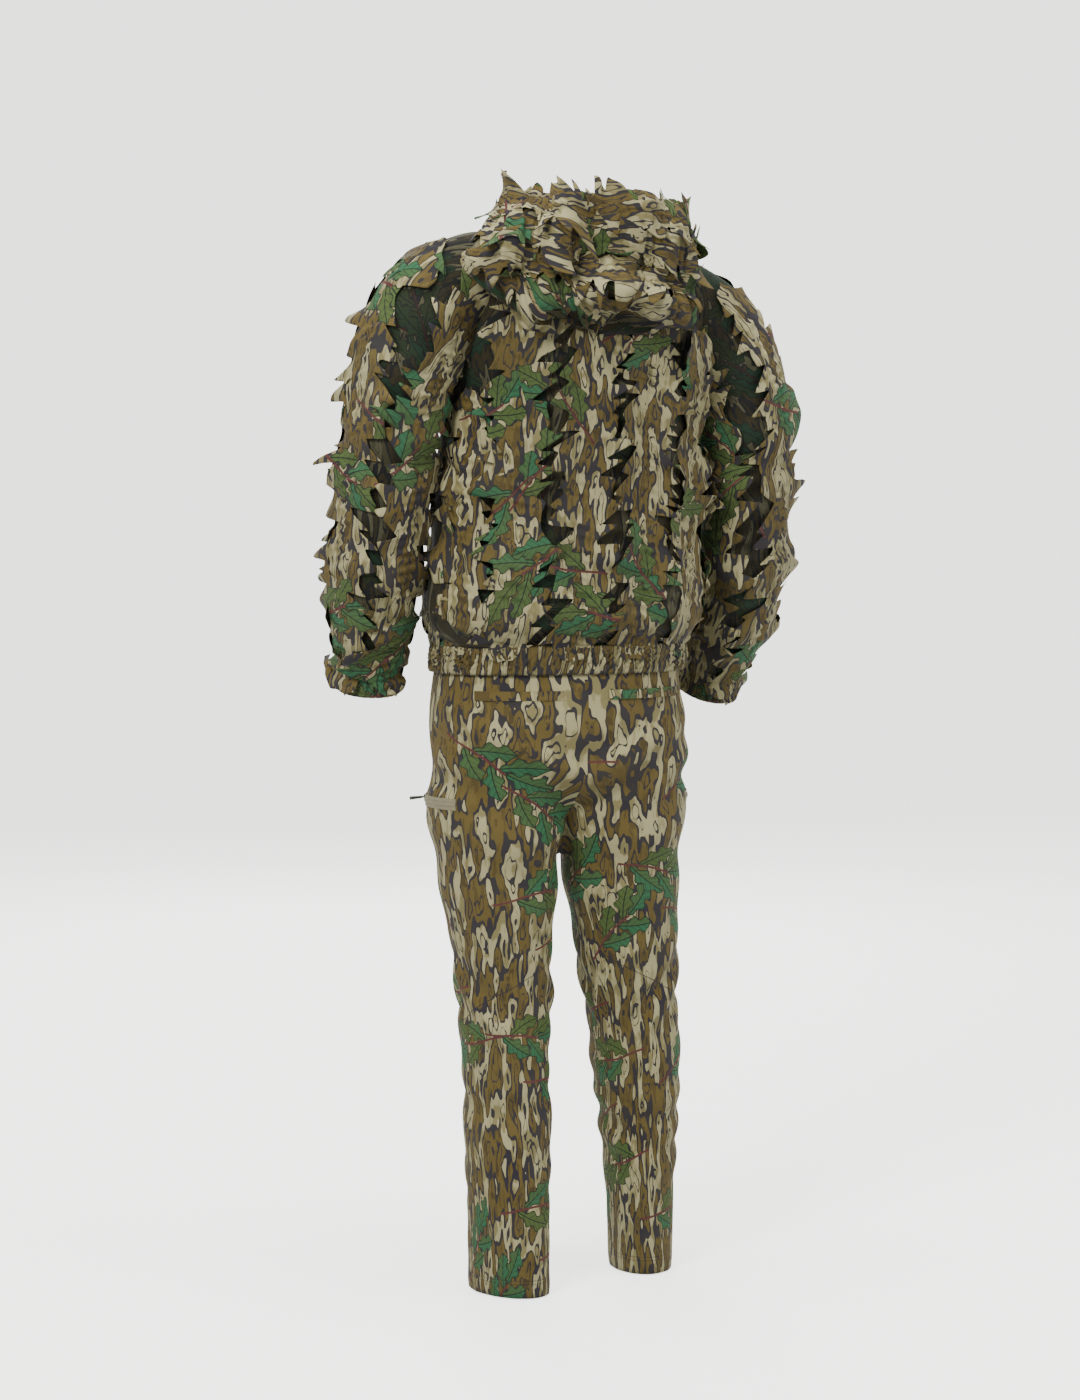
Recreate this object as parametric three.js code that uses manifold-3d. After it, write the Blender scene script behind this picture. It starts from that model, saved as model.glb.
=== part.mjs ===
// Ghillie suit: a hooded, zipped jacket covered in leaf-cut cloth strips, over matching trousers.
// Units are millimetres. +Z is up, the front faces -Y and the wearer's left is +X.
// The origin lies on the level of the two leg hems, under the middle of the hips.
import * as THREE from "three";
import { mergeVertices } from "three/addons/utils/BufferGeometryUtils.js";
import Module from "manifold-3d";

const wasm = await Module();
wasm.setup();

// ---------------------------------------------------------------- driving dimensions
const CLOTH = 3; // wall that stands for the cloth, its folds and its seams
const GAP = 0.3; // gap between pieces that touch
const AROUND = 24; // sides of a body tube
const LIMB_AROUND = 14; // sides of a sleeve or a trouser leg

const CROTCH = 700; // height of the crotch seam
const THIGH_RADIUS = 98; // the thigh is round at its pocket zip
const THIGH_OFFSET = 94; // middle of each thigh from the centre seam
const HIP_HALF = 181; // half width of the hips
const HIP_DEPTH = 118; // half depth of the hips where the jacket's hem grips
const WAISTBAND = 40; // height of the trouser waistband
const WAISTBAND_STEP = 4; // the waistband lies this far inside the hips, front and back

const HEM_BOTTOM = 885; // bottom edge of the jacket's elastic hem
const HEM_BAND = 40; // height of the elastic hem band
const HEM_EASE = 0.5; // room between the hem band and the trousers, front and back
const CHEST_HALF = 190; // half width of the jacket's body
const NECK = 1515; // height of the neck seam
const NECK_BAND = 20; // height of the neck binding
const FRONT_SLOPE = 0.06; // the front leans back by this share of its height
const LEAN = 0.054; // sideways lean of the jacket, as a share of its height
const SHOULDER_TILT = 0.11; // the left shoulder stands higher, as a share of the width
const SIDE_SEAM = 8; // y of the side and shoulder seams

const CUFF = 32; // length of an elastic cuff
const STRIP = 1.8; // thickness of a leaf-cut strip
const STRIP_LIFT = 0.6; // room between a strip and the cloth under it
const STRIP_HALF = 38; // half width of a strip at the tips of its teeth
const SLEEVE_STRIP_HALF = 28;
const NOTCH = 12; // depth of the saw cuts
const TOOTH = 42; // height of half a tooth

const CHAIN_HALF = 3.5; // half width of a closed zip chain
const CHAIN_DEPTH = 2.6;
const CHAIN_PROUD = 1; // the front chain stands this far proud of the cloth
const TOOTH_PITCH = 8;
const TOOTH_REACH = 1.2; // the teeth cross the middle line by this much
const TAPE = 1; // thickness of a zip tape
const RUN = 0.3; // running clearance of a slider on its chain, and of a pull on its bar
const SLIDER_LENGTH = 15;
const SLIDER_WALL = 1.4;
const SLIDER_ROOF = 2.4;
const BAR_RADIUS = 1; // bar that holds a pull
const BAR_STAND = 3; // height of that bar over the slider's roof
const EYE_RADIUS = 2.5; // eye of a pull
const FRONT_PULL = 34; // length of the jacket's pull
const FLY_PULL = 24; // length of the fly's pull

const POCKET_HEIGHT = CROTCH + 2; // height of the thigh pocket zips
const POCKET_REAR = 37; // degrees round the thigh, from the outer side towards the back
const POCKET_FRONT = -42; // and towards the front
const POCKET_TAPE = 16; // height of a pocket zip's tape
const POCKET_CHAIN = 4; // height of its teeth
const POCKET_TAPE_DEPTH = 1.2;
const POCKET_TEETH_DEPTH = 1.6;
const POCKET_SLIDER = 9; // length of a pocket slider
const POCKET_START = -38; // degrees: the pocket slider rests at the closed, front end
const POCKET_PULL = 30; // length of the corded pull
const POCKET_PULL_ANGLE = 24; // degrees that the corded pull stands off the thigh

const TRIM = 1.6; // thickness of flat trim on the trousers
const BUTTON_RADIUS = 9;
const BUTTON_DEPTH = 2.4;
const FLY_LOW = HEM_BOTTOM - 113; // bottom of the fly's zip
const FLY_LENGTH = 106;
const PLACKET_INSIDE = 7;
const PLACKET_OUTSIDE = 26;
const WELT_INSIDE = 34; // inner end of a seat pocket
const WELT_LENGTH = 118;
const WELT_HEIGHT = HEM_BOTTOM - 29;
const WELT = 13;
const BOX_TOP = 13; // top of the box at the front zip's lower end
const TAPE_INSIDE = 1; // inner edge of a zip tape from the middle

const HOOD_AXIS_Y = 80; // the hood turns about a level line across the nape
const HOOD_AXIS_RISE = 3; // height of that line over the neck binding
const HOOD_SHIFT = 26; // the lowered hood lies this far towards the wearer's left
const HOOD_FRONT = 82; // nothing of the hood lies in front of this
const HOOD_RIM_SLOPE = 0.15; // the lowered hood's rim rises backwards at this slope
const HOOD_WALL = 4;
const HOOD_BRIM = 10; // height of the elastic brim
const HOOD_EASE = 0.7; // room between the lowered hood and the jacket

// ---------------------------------------------------------------- materials
function cloth(color, roughness = 0.9) {
  return new THREE.MeshStandardMaterial({ color, roughness, metalness: 0 });
}
const leafCloth = cloth(0x6b6040);
const meshCloth = cloth(0x2a2b23);
const twill = cloth(0x746849);
const elastic = cloth(0x5a5338);
const tapeCloth = cloth(0x6e6650);
const teethPlastic = cloth(0x2b2a24, 0.5);
const cordCloth = cloth(0x3c3d2c);
const metal = new THREE.MeshStandardMaterial({ color: 0x3a382f, roughness: 0.4, metalness: 0.9 });

// ---------------------------------------------------------------- solids
/** A closed three.js geometry as a manifold-3d solid with its faces pointing out. */
function solid(geometry) {
  const bare = geometry.clone();
  bare.deleteAttribute("normal");
  bare.deleteAttribute("uv");
  const merged = mergeVertices(bare, 1e-3);
  const vertProperties = merged.attributes.position.array;
  const triVerts = new Uint32Array(merged.index.array);
  const made = new wasm.Manifold(new wasm.Mesh({ numProp: 3, vertProperties, triVerts }));
  if (made.volume() > 0) return made;
  triVerts.reverse();
  return new wasm.Manifold(new wasm.Mesh({ numProp: 3, vertProperties, triVerts }));
}

/** A manifold-3d solid as a three.js geometry. */
function geometryOf(made) {
  const mesh = made.getMesh();
  const positions = new Float32Array(mesh.numVert * 3);
  for (let i = 0; i < mesh.numVert; i++) {
    const start = i * mesh.numProp;
    positions.set(mesh.vertProperties.subarray(start, start + 3), i * 3);
  }
  const geometry = new THREE.BufferGeometry();
  geometry.setAttribute("position", new THREE.BufferAttribute(positions, 3));
  geometry.setIndex(new THREE.BufferAttribute(new Uint32Array(mesh.triVerts), 1));
  geometry.computeVertexNormals();
  return geometry;
}

/** Moves every point of a geometry by a function of the point. */
function reshape(geometry, move) {
  const positions = geometry.getAttribute("position");
  for (let i = 0; i < positions.count; i++) {
    const point = move(new THREE.Vector3().fromBufferAttribute(positions, i));
    positions.setXYZ(i, point.x, point.y, point.z);
  }
  return geometry;
}

/** A box geometry between two corners. */
function boxGeometry(low, high) {
  const size = high.map((value, i) => value - low[i]);
  const middle = high.map((value, i) => (value + low[i]) / 2);
  return new THREE.BoxGeometry(...size).translate(...middle);
}

const block = (low, high) => solid(boxGeometry(low, high));
const FAR = 3000; // past the whole suit

/** The part of a solid between two values of one axis. */
function keep(made, axis, from, to) {
  const low = [-FAR, -FAR, -FAR];
  const high = [FAR, FAR, FAR];
  low[axis] = from;
  high[axis] = to;
  return made.intersect(block(low, high));
}

const X = 0;
const Y = 1;

// ---------------------------------------------------------------- lofted tubes
/** One cross-section: its middle, its two directions, its half sizes and how square it is. */
function section(centre, across, through, half, depth, power) {
  return { centre, across, through, half, depth, power };
}

/** A level section of a body: half width, and the y of its front and its back. */
function level(z, half, front, back, power = 2.4) {
  const centre = new THREE.Vector3(0, (front + back) / 2, z);
  const across = new THREE.Vector3(1, 0, 0);
  const through = new THREE.Vector3(0, 1, 0);
  return section(centre, across, through, half, (back - front) / 2, power);
}

/** A point of a section's outline, grown outwards. Angle 0 is across and 90 degrees is through. */
function outlinePoint(s, angle, grow = 0) {
  const c = Math.cos(angle);
  const t = Math.sin(angle);
  const share = 2 / s.power;
  const u = (s.half + grow) * Math.sign(c) * Math.abs(c) ** share;
  const v = (s.depth + grow) * Math.sign(t) * Math.abs(t) ** share;
  return s.centre.clone().addScaledVector(s.across, u).addScaledVector(s.through, v);
}

const unmoved = (point) => point;

/** A closed tube through sections, with flat ends. */
function tube(sections, grow = 0, sides = AROUND, place = unmoved) {
  const rows = sections.length - 1;
  const geometry = new THREE.CylinderGeometry(1, 1, 1, sides, rows);
  return solid(reshape(geometry, (point) => {
    const s = sections[Math.round((point.y + 0.5) * rows)];
    const isMiddle = Math.hypot(point.x, point.z) < 0.5;
    const angle = Math.atan2(point.z, point.x);
    return place(isMiddle ? s.centre.clone() : outlinePoint(s, angle, grow));
  }));
}

/** The same sections with one more past each end, along the tube's own line. */
function lengthened(sections, by) {
  const last = sections.length - 1;
  const moved = (s, from) => {
    const step = s.centre.clone().sub(from.centre).normalize().multiplyScalar(by);
    return { ...s, centre: s.centre.clone().add(step) };
  };
  return [moved(sections[0], sections[1]), ...sections, moved(sections[last], sections[last - 1])];
}

/** The hollow of a tube, running past both its open ends. */
function hollow(sections, wall = CLOTH, sides = AROUND, place = unmoved) {
  return tube(lengthened(sections, wall * 2), -wall, sides, place);
}

/** A tube with a wall, open at both ends. */
function shell(sections, wall = CLOTH, sides = AROUND, place = unmoved) {
  return tube(sections, 0, sides, place).subtract(hollow(sections, wall, sides, place));
}

/** A thin layer that lies over a tube, from which flat trim is cut. */
function skin(sections, lift, thickness, sides = AROUND, place = unmoved) {
  const inside = tube(lengthened(sections, 10), lift, sides, place);
  return tube(sections, lift + thickness, sides, place).subtract(inside);
}

// ---------------------------------------------------------------- the jacket's stance
/** The height at a share of the way up the jacket, from its bottom edge to the neck seam. */
const jacketHeight = (share) => HEM_BOTTOM + share * (NECK - HEM_BOTTOM);
const HEM_TOP = HEM_BOTTOM + HEM_BAND;
const SHOULDER_SHARE = 0.88;

/** Leans and tilts a point of the jacket the way its wearer stands. */
function stance(point) {
  const share = (point.z - HEM_TOP) / (jacketHeight(SHOULDER_SHARE) - HEM_TOP);
  const tilt = SHOULDER_TILT * THREE.MathUtils.smoothstep(share, 0, 1);
  const x = point.x - LEAN * (point.z - HEM_BOTTOM);
  return new THREE.Vector3(x, point.y, point.z + tilt * point.x);
}

/** A block that leans with the jacket's front opening. */
function leaningBlock(fromX, toX) {
  const low = [fromX, -FAR, HEM_BOTTOM - 60];
  const high = [toX, 0, NECK + NECK_BAND + 60];
  const lean = (p) => new THREE.Vector3(p.x - LEAN * (p.z - HEM_BOTTOM), p.y, p.z);
  return solid(reshape(boxGeometry(low, high), lean));
}

const FRONT_AT_HEM = -(HIP_DEPTH + CLOTH + HEM_EASE);
const frontAt = (z) => FRONT_AT_HEM + FRONT_SLOPE * (z - HEM_BOTTOM);
const hipDepthAt = (z) => HIP_DEPTH - FRONT_SLOPE * Math.max(0, z - HEM_BOTTOM);

// ---------------------------------------------------------------- trousers
const hipHeight = (share) => CROTCH + share * (HEM_BOTTOM - CROTCH);
const hipLevel = (share, width, front, back) => (
  level(hipHeight(share), width * HIP_HALF, -front * HIP_DEPTH, back * HIP_DEPTH)
);
const WAISTBAND_LOW = HEM_TOP + 10;
const WAISTBAND_TOP = WAISTBAND_LOW + WAISTBAND;
const waistDepth = (z) => hipDepthAt(z) - WAISTBAND_STEP;
const waistHalf = (z) => HIP_HALF - 6 - 0.05 * (z - WAISTBAND_LOW);
const waistLevel = (z) => level(z, waistHalf(z), -waistDepth(z), waistDepth(z));
const gripLevel = (z) => level(z, HIP_HALF - 0.1 * (z - HEM_BOTTOM), -hipDepthAt(z), hipDepthAt(z));
const hips = [
  hipLevel(-0.05, 0.45, 0.3, 0.35),
  hipLevel(0.11, 0.88, 0.86, 0.84),
  hipLevel(0.24, 1.02, 1, 1),
  hipLevel(0.35, 1.04, 1, 1.05),
  hipLevel(0.54, 1.045, 1, 1.07),
  hipLevel(0.78, 1.02, 1, 1.04),
  hipLevel(1, 1, 1, 1),
  gripLevel(HEM_TOP),
  waistLevel(WAISTBAND_LOW),
];


/** A level section of a leg, turned about its middle by some degrees. */
function legLevel(z, x, y, half, depth, turn = 0, power = 2) {
  const centre = new THREE.Vector3(x, y, z);
  const angle = THREE.MathUtils.degToRad(turn);
  const across = new THREE.Vector3(Math.cos(angle), Math.sin(angle), 0);
  const through = new THREE.Vector3(-Math.sin(angle), Math.cos(angle), 0);
  return section(centre, across, through, half, depth, power);
}

const LEGS = {
  left: [
    legLevel(0, 86, 35, 48, 70, 24),
    legLevel(0.1 * CROTCH, 86, 34, 50, 71, 22),
    legLevel(0.27 * CROTCH, 85, 28, 56, 70, 16),
    legLevel(0.41 * CROTCH, 84, 18, 62, 73, 10),
    legLevel(0.59 * CROTCH, 84, 10, 67, 75, 6),
    legLevel(0.8 * CROTCH, 90, 5, 81, 87, 3),
    legLevel(0.91 * CROTCH, 93, 2, 92, 96),
  ],
  right: [
    legLevel(0, -144, -35, 46, 67, -9),
    legLevel(0.1 * CROTCH, -143, -34, 49, 68, -8),
    legLevel(0.27 * CROTCH, -140, -32, 56, 69, -6),
    legLevel(0.41 * CROTCH, -134, -27, 63, 72, -4),
    legLevel(0.59 * CROTCH, -120, -18, 71, 76, -3),
    legLevel(0.8 * CROTCH, -103, -7, 83, 88, -2),
    legLevel(0.91 * CROTCH, -96, -2, 92, 96),
  ],
};

/** The sections of a leg from its hem to inside the hips. The thigh is round at its pocket zip. */
function legSections(side, name) {
  const x = side * THIGH_OFFSET;
  const low = POCKET_HEIGHT - POCKET_TAPE / 2 - 4;
  const high = POCKET_HEIGHT + POCKET_TAPE / 2 + 4;
  return [
    ...LEGS[name],
    legLevel(low, x, 0, THIGH_RADIUS, THIGH_RADIUS),
    legLevel(high, x, 0, THIGH_RADIUS, THIGH_RADIUS),
    legLevel(hipHeight(0.6), side * (THIGH_OFFSET - 8), 0, THIGH_RADIUS - 8, THIGH_RADIUS),
  ];
}

/** One hollow trouser leg with its half of the hips, cut at the centre seam. */
function trouserLeg(side, name) {
  const leg = legSections(side, name);
  const half = (made, from) => (
    side > 0 ? keep(made, X, from, FAR) : keep(made, X, -FAR, -from)
  );
  const outside = tube(leg, 0, LIMB_AROUND).add(tube(hips));
  const seat = hollow(hips.slice(1));
  const inLeg = half(hollow(leg, CLOTH, LIMB_AROUND), CLOTH + GAP / 2);
  return half(outside, GAP / 2).subtract(seat).subtract(inLeg);
}

/** A flat piece of trim on the hips between two widths and two heights. */
function hipTrim(thickness, low, high, isFront) {
  const depths = isFront ? [-FAR, 0] : [0, FAR];
  const cutter = block([low[0], depths[0], low[1]], [high[0], depths[1], high[1]]);
  return skin(hips, GAP, thickness).intersect(cutter);
}

/** A curved band between two radii, two angles in degrees and two heights. */
function arcBand(x, inner, outer, from, to, low, high) {
  const start = THREE.MathUtils.degToRad(from);
  const end = THREE.MathUtils.degToRad(to);
  const outline = new THREE.Shape();
  outline.absarc(0, 0, outer, start, end, false);
  outline.absarc(0, 0, inner, end, start, true);
  const settings = { depth: high - low, bevelEnabled: false, curveSegments: 12 };
  return solid(new THREE.ExtrudeGeometry(outline, settings).translate(x, 0, low));
}

/** The tape and the teeth of a pocket zip, round the outer side of a thigh. */
function pocketZip(side) {
  const ends = side > 0 ? [POCKET_FRONT, POCKET_REAR] : [180 - POCKET_REAR, 180 - POCKET_FRONT];
  const foot = THIGH_RADIUS + GAP;
  const top = foot + POCKET_TAPE_DEPTH;
  const band = (inner, outer, height) => arcBand(
    side * THIGH_OFFSET, inner, outer, ...ends,
    POCKET_HEIGHT - height / 2, POCKET_HEIGHT + height / 2,
  );
  return band(foot, top, POCKET_TAPE).add(band(top - 0.2, top + POCKET_TEETH_DEPTH, POCKET_CHAIN));
}

const POCKET_ROOF = GAP + POCKET_TAPE_DEPTH + POCKET_TEETH_DEPTH + RUN; // inside of the slider's roof
const POCKET_LID = 1.6; // thickness of that roof
const POCKET_BAR = POCKET_ROOF + POCKET_LID + EYE_RADIUS + 0.4; // its bar's distance off the thigh

/** A pocket slider. X points out of the thigh from its surface and Z is up. */
function pocketSlider() {
  const foot = GAP + POCKET_TAPE_DEPTH + RUN;
  const half = POCKET_SLIDER / 2;
  const slot = POCKET_CHAIN / 2 + RUN;
  const side = slot + SLIDER_WALL;
  const body = block([foot, -half, -side], [POCKET_ROOF + POCKET_LID, half, side]);
  const channel = block([foot - 5, -half - 5, -slot], [POCKET_ROOF, half + 5, slot]);
  const ear = (z) => (
    block([POCKET_ROOF + 1, -1.2, z], [POCKET_BAR + BAR_RADIUS + 0.2, 1.2, z + 1.1])
  );
  const pin = new THREE.CylinderGeometry(BAR_RADIUS, BAR_RADIUS, 2 * side - 0.4, 14);
  const axle = solid(pin.rotateX(Math.PI / 2).translate(POCKET_BAR, 0, 0));
  return body.subtract(channel).add(ear(side - 1.1)).add(ear(-side)).add(axle);
}

/** The corded pull of a pocket slider. Its eye is at the origin and it trails along +Y. */
function pocketPull() {
  const height = 2 * (POCKET_CHAIN / 2 + RUN + SLIDER_WALL - 1.1) - 2 * RUN;
  const upright = (radius, tall) => (
    new THREE.CylinderGeometry(radius, radius, tall, 18).rotateX(Math.PI / 2)
  );
  const bore = solid(upright(BAR_RADIUS + RUN, height * 2));
  const eye = solid(upright(EYE_RADIUS, height)).subtract(bore);
  const neck = block([-0.9, BAR_RADIUS + RUN + 0.3, -0.9], [0.9, 8, 0.9]);
  const cord = new THREE.CylinderGeometry(2.6, 1.7, POCKET_PULL - 6, 12);
  return eye.add(neck).add(solid(cord.translate(0, 6 + (POCKET_PULL - 6) / 2, 0)));
}

// ---------------------------------------------------------------- jacket body
const TORSO_LOW = HEM_TOP + GAP;
const torsoLevel = (share, width, back, power) => {
  const z = jacketHeight(share);
  return level(z, width * CHEST_HALF, frontAt(z), back, power);
};
const torso = [
  level(TORSO_LOW, HIP_HALF + 3, frontAt(TORSO_LOW), -frontAt(TORSO_LOW)),
  torsoLevel(0.125, 1.055, 145),
  torsoLevel(0.25, 1.03, 141),
  torsoLevel(0.42, 1, 136),
  torsoLevel(0.58, 0.98, 137),
  torsoLevel(0.7, 0.985, 138),
  torsoLevel(0.8, 0.965, 130),
  torsoLevel(0.87, 0.92, 119),
  torsoLevel(0.925, 0.84, 104),
  torsoLevel(0.968, 0.68, 90, 2.3),
  torsoLevel(1, 0.455, 77, 2.1),
];
const neckLevel = (z) => level(z, 0.45 * CHEST_HALF, frontAt(z), 77 - 0.15 * (z - NECK), 2.1);
const ZIP_HALF = 7; // half the width between the jacket's two front edges
const zipSlot = leaningBlock(-ZIP_HALF, ZIP_HALF);

const hemLevels = [
  level(HEM_BOTTOM, HIP_HALF + CLOTH + 1, FRONT_AT_HEM, -FRONT_AT_HEM),
  level(HEM_TOP, HIP_HALF + 3, frontAt(HEM_TOP), -frontAt(HEM_TOP)),
];
const neckLevels = [neckLevel(NECK + GAP), neckLevel(NECK + NECK_BAND)];

// ---------------------------------------------------------------- sleeves
/** Sections square to a line through points given as [past the chest's side, y, share, r, depth]. */
function sleeveSections(side, rows) {
  const points = rows.map(([past, y, share]) => (
    new THREE.Vector3(side * (CHEST_HALF + past), y, jacketHeight(share))
  ));
  const line = new THREE.CatmullRomCurve3(points);
  return rows.map(([, , , half, depth], i) => {
    const tangent = line.getTangent(i / (rows.length - 1)).normalize();
    const through = new THREE.Vector3(0, 1, 0).addScaledVector(tangent, -tangent.y).normalize();
    const across = new THREE.Vector3().crossVectors(tangent, through);
    return section(points[i], across, through, half, depth, 2.1);
  });
}

const sleeves = {
  left: sleeveSections(1, [
    [-130, 0, 0.905, 50, 52],
    [-72, 4, 0.884, 66, 70],
    [-5, 8, 0.817, 77, 80],
    [30, 12, 0.715, 75, 80],
    [52, 13, 0.6, 68, 75],
    [67, 8, 0.445, 64, 71],
    [75, 0, 0.294, 61, 67],
    [81, -16, 0.143, 57, 62],
    [81, -32, 0.012, 43, 46],
  ]),
  right: sleeveSections(-1, [
    [-62, 0, 0.88, 46, 50],
    [-8, 4, 0.835, 64, 68],
    [36, 8, 0.77, 75, 79],
    [66, 12, 0.675, 75, 80],
    [89, 13, 0.555, 68, 76],
    [95, 6, 0.405, 63, 71],
    [97, -6, 0.254, 61, 67],
    [92, -38, 0.111, 57, 62],
    [78, -72, -0.016, 43, 46],
  ]),
};
const sleeveHollow = (name) => hollow(sleeves[name], CLOTH, LIMB_AROUND);

/** An elastic cuff that goes on from the end of a sleeve. */
function cuff(name) {
  const [before, end] = sleeves[name].slice(-2);
  const along = end.centre.clone().sub(before.centre).normalize();
  const ring = (distance, shrink) => ({
    ...end,
    centre: end.centre.clone().addScaledVector(along, distance),
    half: end.half - shrink,
    depth: end.depth - shrink,
  });
  return shell([ring(GAP, 0), ring(CUFF / 2, 3), ring(CUFF, 2)], CLOTH, LIMB_AROUND);
}

// ---------------------------------------------------------------- hood, lowered on the back
const HOOD_AXIS_Z = NECK + NECK_BAND + HOOD_AXIS_RISE;
const hoodLevel = (share, half, front, back, power = 2.3) => {
  const made = level(jacketHeight(share), half, front, back, power);
  made.centre.x = HOOD_SHIFT;
  return made;
};
const hoodSections = [
  hoodLevel(0.76, 76, 98, 162),
  hoodLevel(0.778, 112, 92, 186),
  hoodLevel(0.81, 140, 82, 202),
  hoodLevel(0.855, 151, 70, 210),
  hoodLevel(0.915, 151, 58, 208),
  hoodLevel(0.98, 144, 45, 201),
  hoodLevel(1.06, 132, 36, 193),
  hoodLevel(1.16, 118, 30, 184),
];

/** Everything over a plane parallel to the hood's rim, some way above or below it. */
function overRim(raise) {
  const slab = boxGeometry([-FAR, -FAR, raise], [FAR, FAR, FAR]);
  slab.rotateX(Math.atan(HOOD_RIM_SLOPE)).translate(0, HOOD_AXIS_Y, HOOD_AXIS_Z);
  return solid(slab);
}

/** The jacket's body and neck as one solid, grown outwards. */
function bodyGrown(grow) {
  const sections = [...torso, neckLevel(NECK + NECK_BAND + 60)];
  return tube(sections, grow, AROUND, stance);
}

/** The whole wall of the hood, open along its rim. */
function hoodWall() {
  const outside = tube(hoodSections, 0, AROUND, stance).subtract(bodyGrown(HOOD_EASE));
  const pouch = tube(lengthened(hoodSections.slice(1), 40).slice(1), -HOOD_WALL, AROUND, stance);
  const inside = pouch.subtract(bodyGrown(HOOD_EASE + HOOD_WALL));
  return keep(outside, Y, HOOD_FRONT, FAR)
    .subtract(keep(inside, Y, HOOD_FRONT + HOOD_WALL, FAR))
    .subtract(overRim(0));
}

// ---------------------------------------------------------------- leaf-cut strips
const REACH = 300; // past the surface that a strip lies on

/** A strip's outline up from the origin, with saw teeth along both sides. */
function sawOutline(length, half) {
  const rows = 2 * Math.round(length / TOOTH / 2);
  const edge = Array.from({ length: rows + 1 }, (_, i) => (
    new THREE.Vector2(half - (i % 2) * NOTCH, (i * length) / rows)
  ));
  const other = edge.map((point) => new THREE.Vector2(-point.x, point.y)).reverse();
  return new THREE.Shape([...edge, ...other]);
}

/** The middle of a tube at a height. */
function middleAt(centres, z) {
  const above = centres.findIndex((centre, i) => i > 0 && centre.z >= z);
  const next = centres[above < 0 ? centres.length - 1 : above];
  const last = centres[(above < 0 ? centres.length - 1 : above) - 1];
  return last.clone().lerp(next, (z - last.z) / (next.z - last.z));
}

/** A prism of the saw-cut outline that faces one way from a tube's middle line and follows it. */
function stripCutter(centres, facing, offset, low, high, half = STRIP_HALF) {
  const angle = THREE.MathUtils.degToRad(facing);
  const out = new THREE.Vector3(Math.cos(angle), Math.sin(angle), 0);
  const sideways = new THREE.Vector3(-Math.sin(angle), Math.cos(angle), 0);
  const outline = sawOutline(high - low, half);
  const prism = new THREE.ExtrudeGeometry(outline, { depth: REACH, bevelEnabled: false });
  return solid(reshape(prism, (point) => {
    const z = low + point.y;
    const middle = middleAt(centres, z);
    middle.addScaledVector(sideways, point.x + offset).addScaledVector(out, point.z);
    return middle.setZ(z);
  }));
}

const torsoCentres = torso.map((s) => stance(s.centre));
const torsoSkin = skin(torso, STRIP_LIFT, STRIP, AROUND, stance);
const torsoStrip = (facing, offset, from, to) => torsoSkin.intersect(
  stripCutter(torsoCentres, facing, offset, jacketHeight(from), jacketHeight(to)),
);

/** Strips on one sleeve, on its outer side, back, inner side and front. */
function sleeveStrips(name) {
  const centres = sleeves[name].map((s) => s.centre).reverse();
  const layer = skin(sleeves[name], STRIP_LIFT, STRIP, LIMB_AROUND);
  const outer = name === "left" ? 0 : 180;
  const runs = [[outer, 0.56], [90, 0.56], [180 - outer, 0.4], [270, 0.56]];
  return runs.map(([facing, top]) => layer.intersect(
    stripCutter(centres, facing, 0, jacketHeight(0.03), jacketHeight(top), SLEEVE_STRIP_HALF),
  ));
}

/** A level strip across the back of the lowered hood. */
function hoodStrip(share, length) {
  const outline = sawOutline(length, STRIP_HALF);
  const prism = new THREE.ExtrudeGeometry(outline, { depth: REACH, bevelEnabled: false });
  const middle = stance(new THREE.Vector3(HOOD_SHIFT, 0, jacketHeight(share)));
  prism.translate(0, -length / 2, 0).rotateZ(Math.PI / 2).scale(1, 0.55, 1);
  prism.rotateX(-Math.PI / 2).translate(middle.x, 120, middle.z);
  const layer = skin(hoodSections, STRIP_LIFT, STRIP, AROUND, stance);
  return layer.intersect(solid(prism)).subtract(overRim(-HOOD_BRIM - 2));
}

// ---------------------------------------------------------------- zips
/** One side of a zip chain from the origin up, with teeth across the middle line, facing -Y. */
function chainSide(length, side) {
  const count = Math.floor(length / TOOTH_PITCH);
  const outline = new THREE.Shape();
  outline.moveTo(side * CHAIN_HALF, 0);
  for (let i = 0; i <= count; i++) {
    const tip = i % 2 ? TOOTH_REACH : -TOOTH_REACH;
    outline.lineTo(tip + (side * RUN) / 2, (i * length) / count);
  }
  outline.lineTo(side * CHAIN_HALF, length);
  outline.closePath();
  const prism = new THREE.ExtrudeGeometry(outline, { depth: CHAIN_DEPTH, bevelEnabled: false });
  return solid(prism.rotateX(Math.PI / 2).translate(0, CHAIN_DEPTH, 0));
}

/** A round bar along X. */
function bar(radius, length, y, z) {
  const round = new THREE.CylinderGeometry(radius, radius, length, 16);
  return solid(round.rotateZ(Math.PI / 2).translate(0, y, z));
}

const BAR_Y = -RUN - SLIDER_ROOF - BAR_STAND; // the bar, from the chain's face
const BAR_Z = 3; // the bar, above the slider's middle

/** A slider that straddles its chain. The chain's face lies at y 0 and the slider faces -Y. */
function zipSlider() {
  const inner = CHAIN_HALF + RUN;
  const outer = inner + SLIDER_WALL;
  const half = SLIDER_LENGTH / 2;
  const roof = -RUN - SLIDER_ROOF;
  const body = block([-outer, roof, -half], [outer, CHAIN_DEPTH - RUN, half]);
  const channel = block([-inner, -RUN, -half - 5], [inner, CHAIN_DEPTH * 2, half + 5]);
  const ear = (x) => (
    block([x, BAR_Y - BAR_RADIUS - 0.2, BAR_Z - 2], [x + 1.2, roof + 0.5, BAR_Z + 2])
  );
  return body.subtract(channel).add(ear(-4)).add(ear(2.8)).add(bar(BAR_RADIUS, 7.6, BAR_Y, BAR_Z));
}

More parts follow.
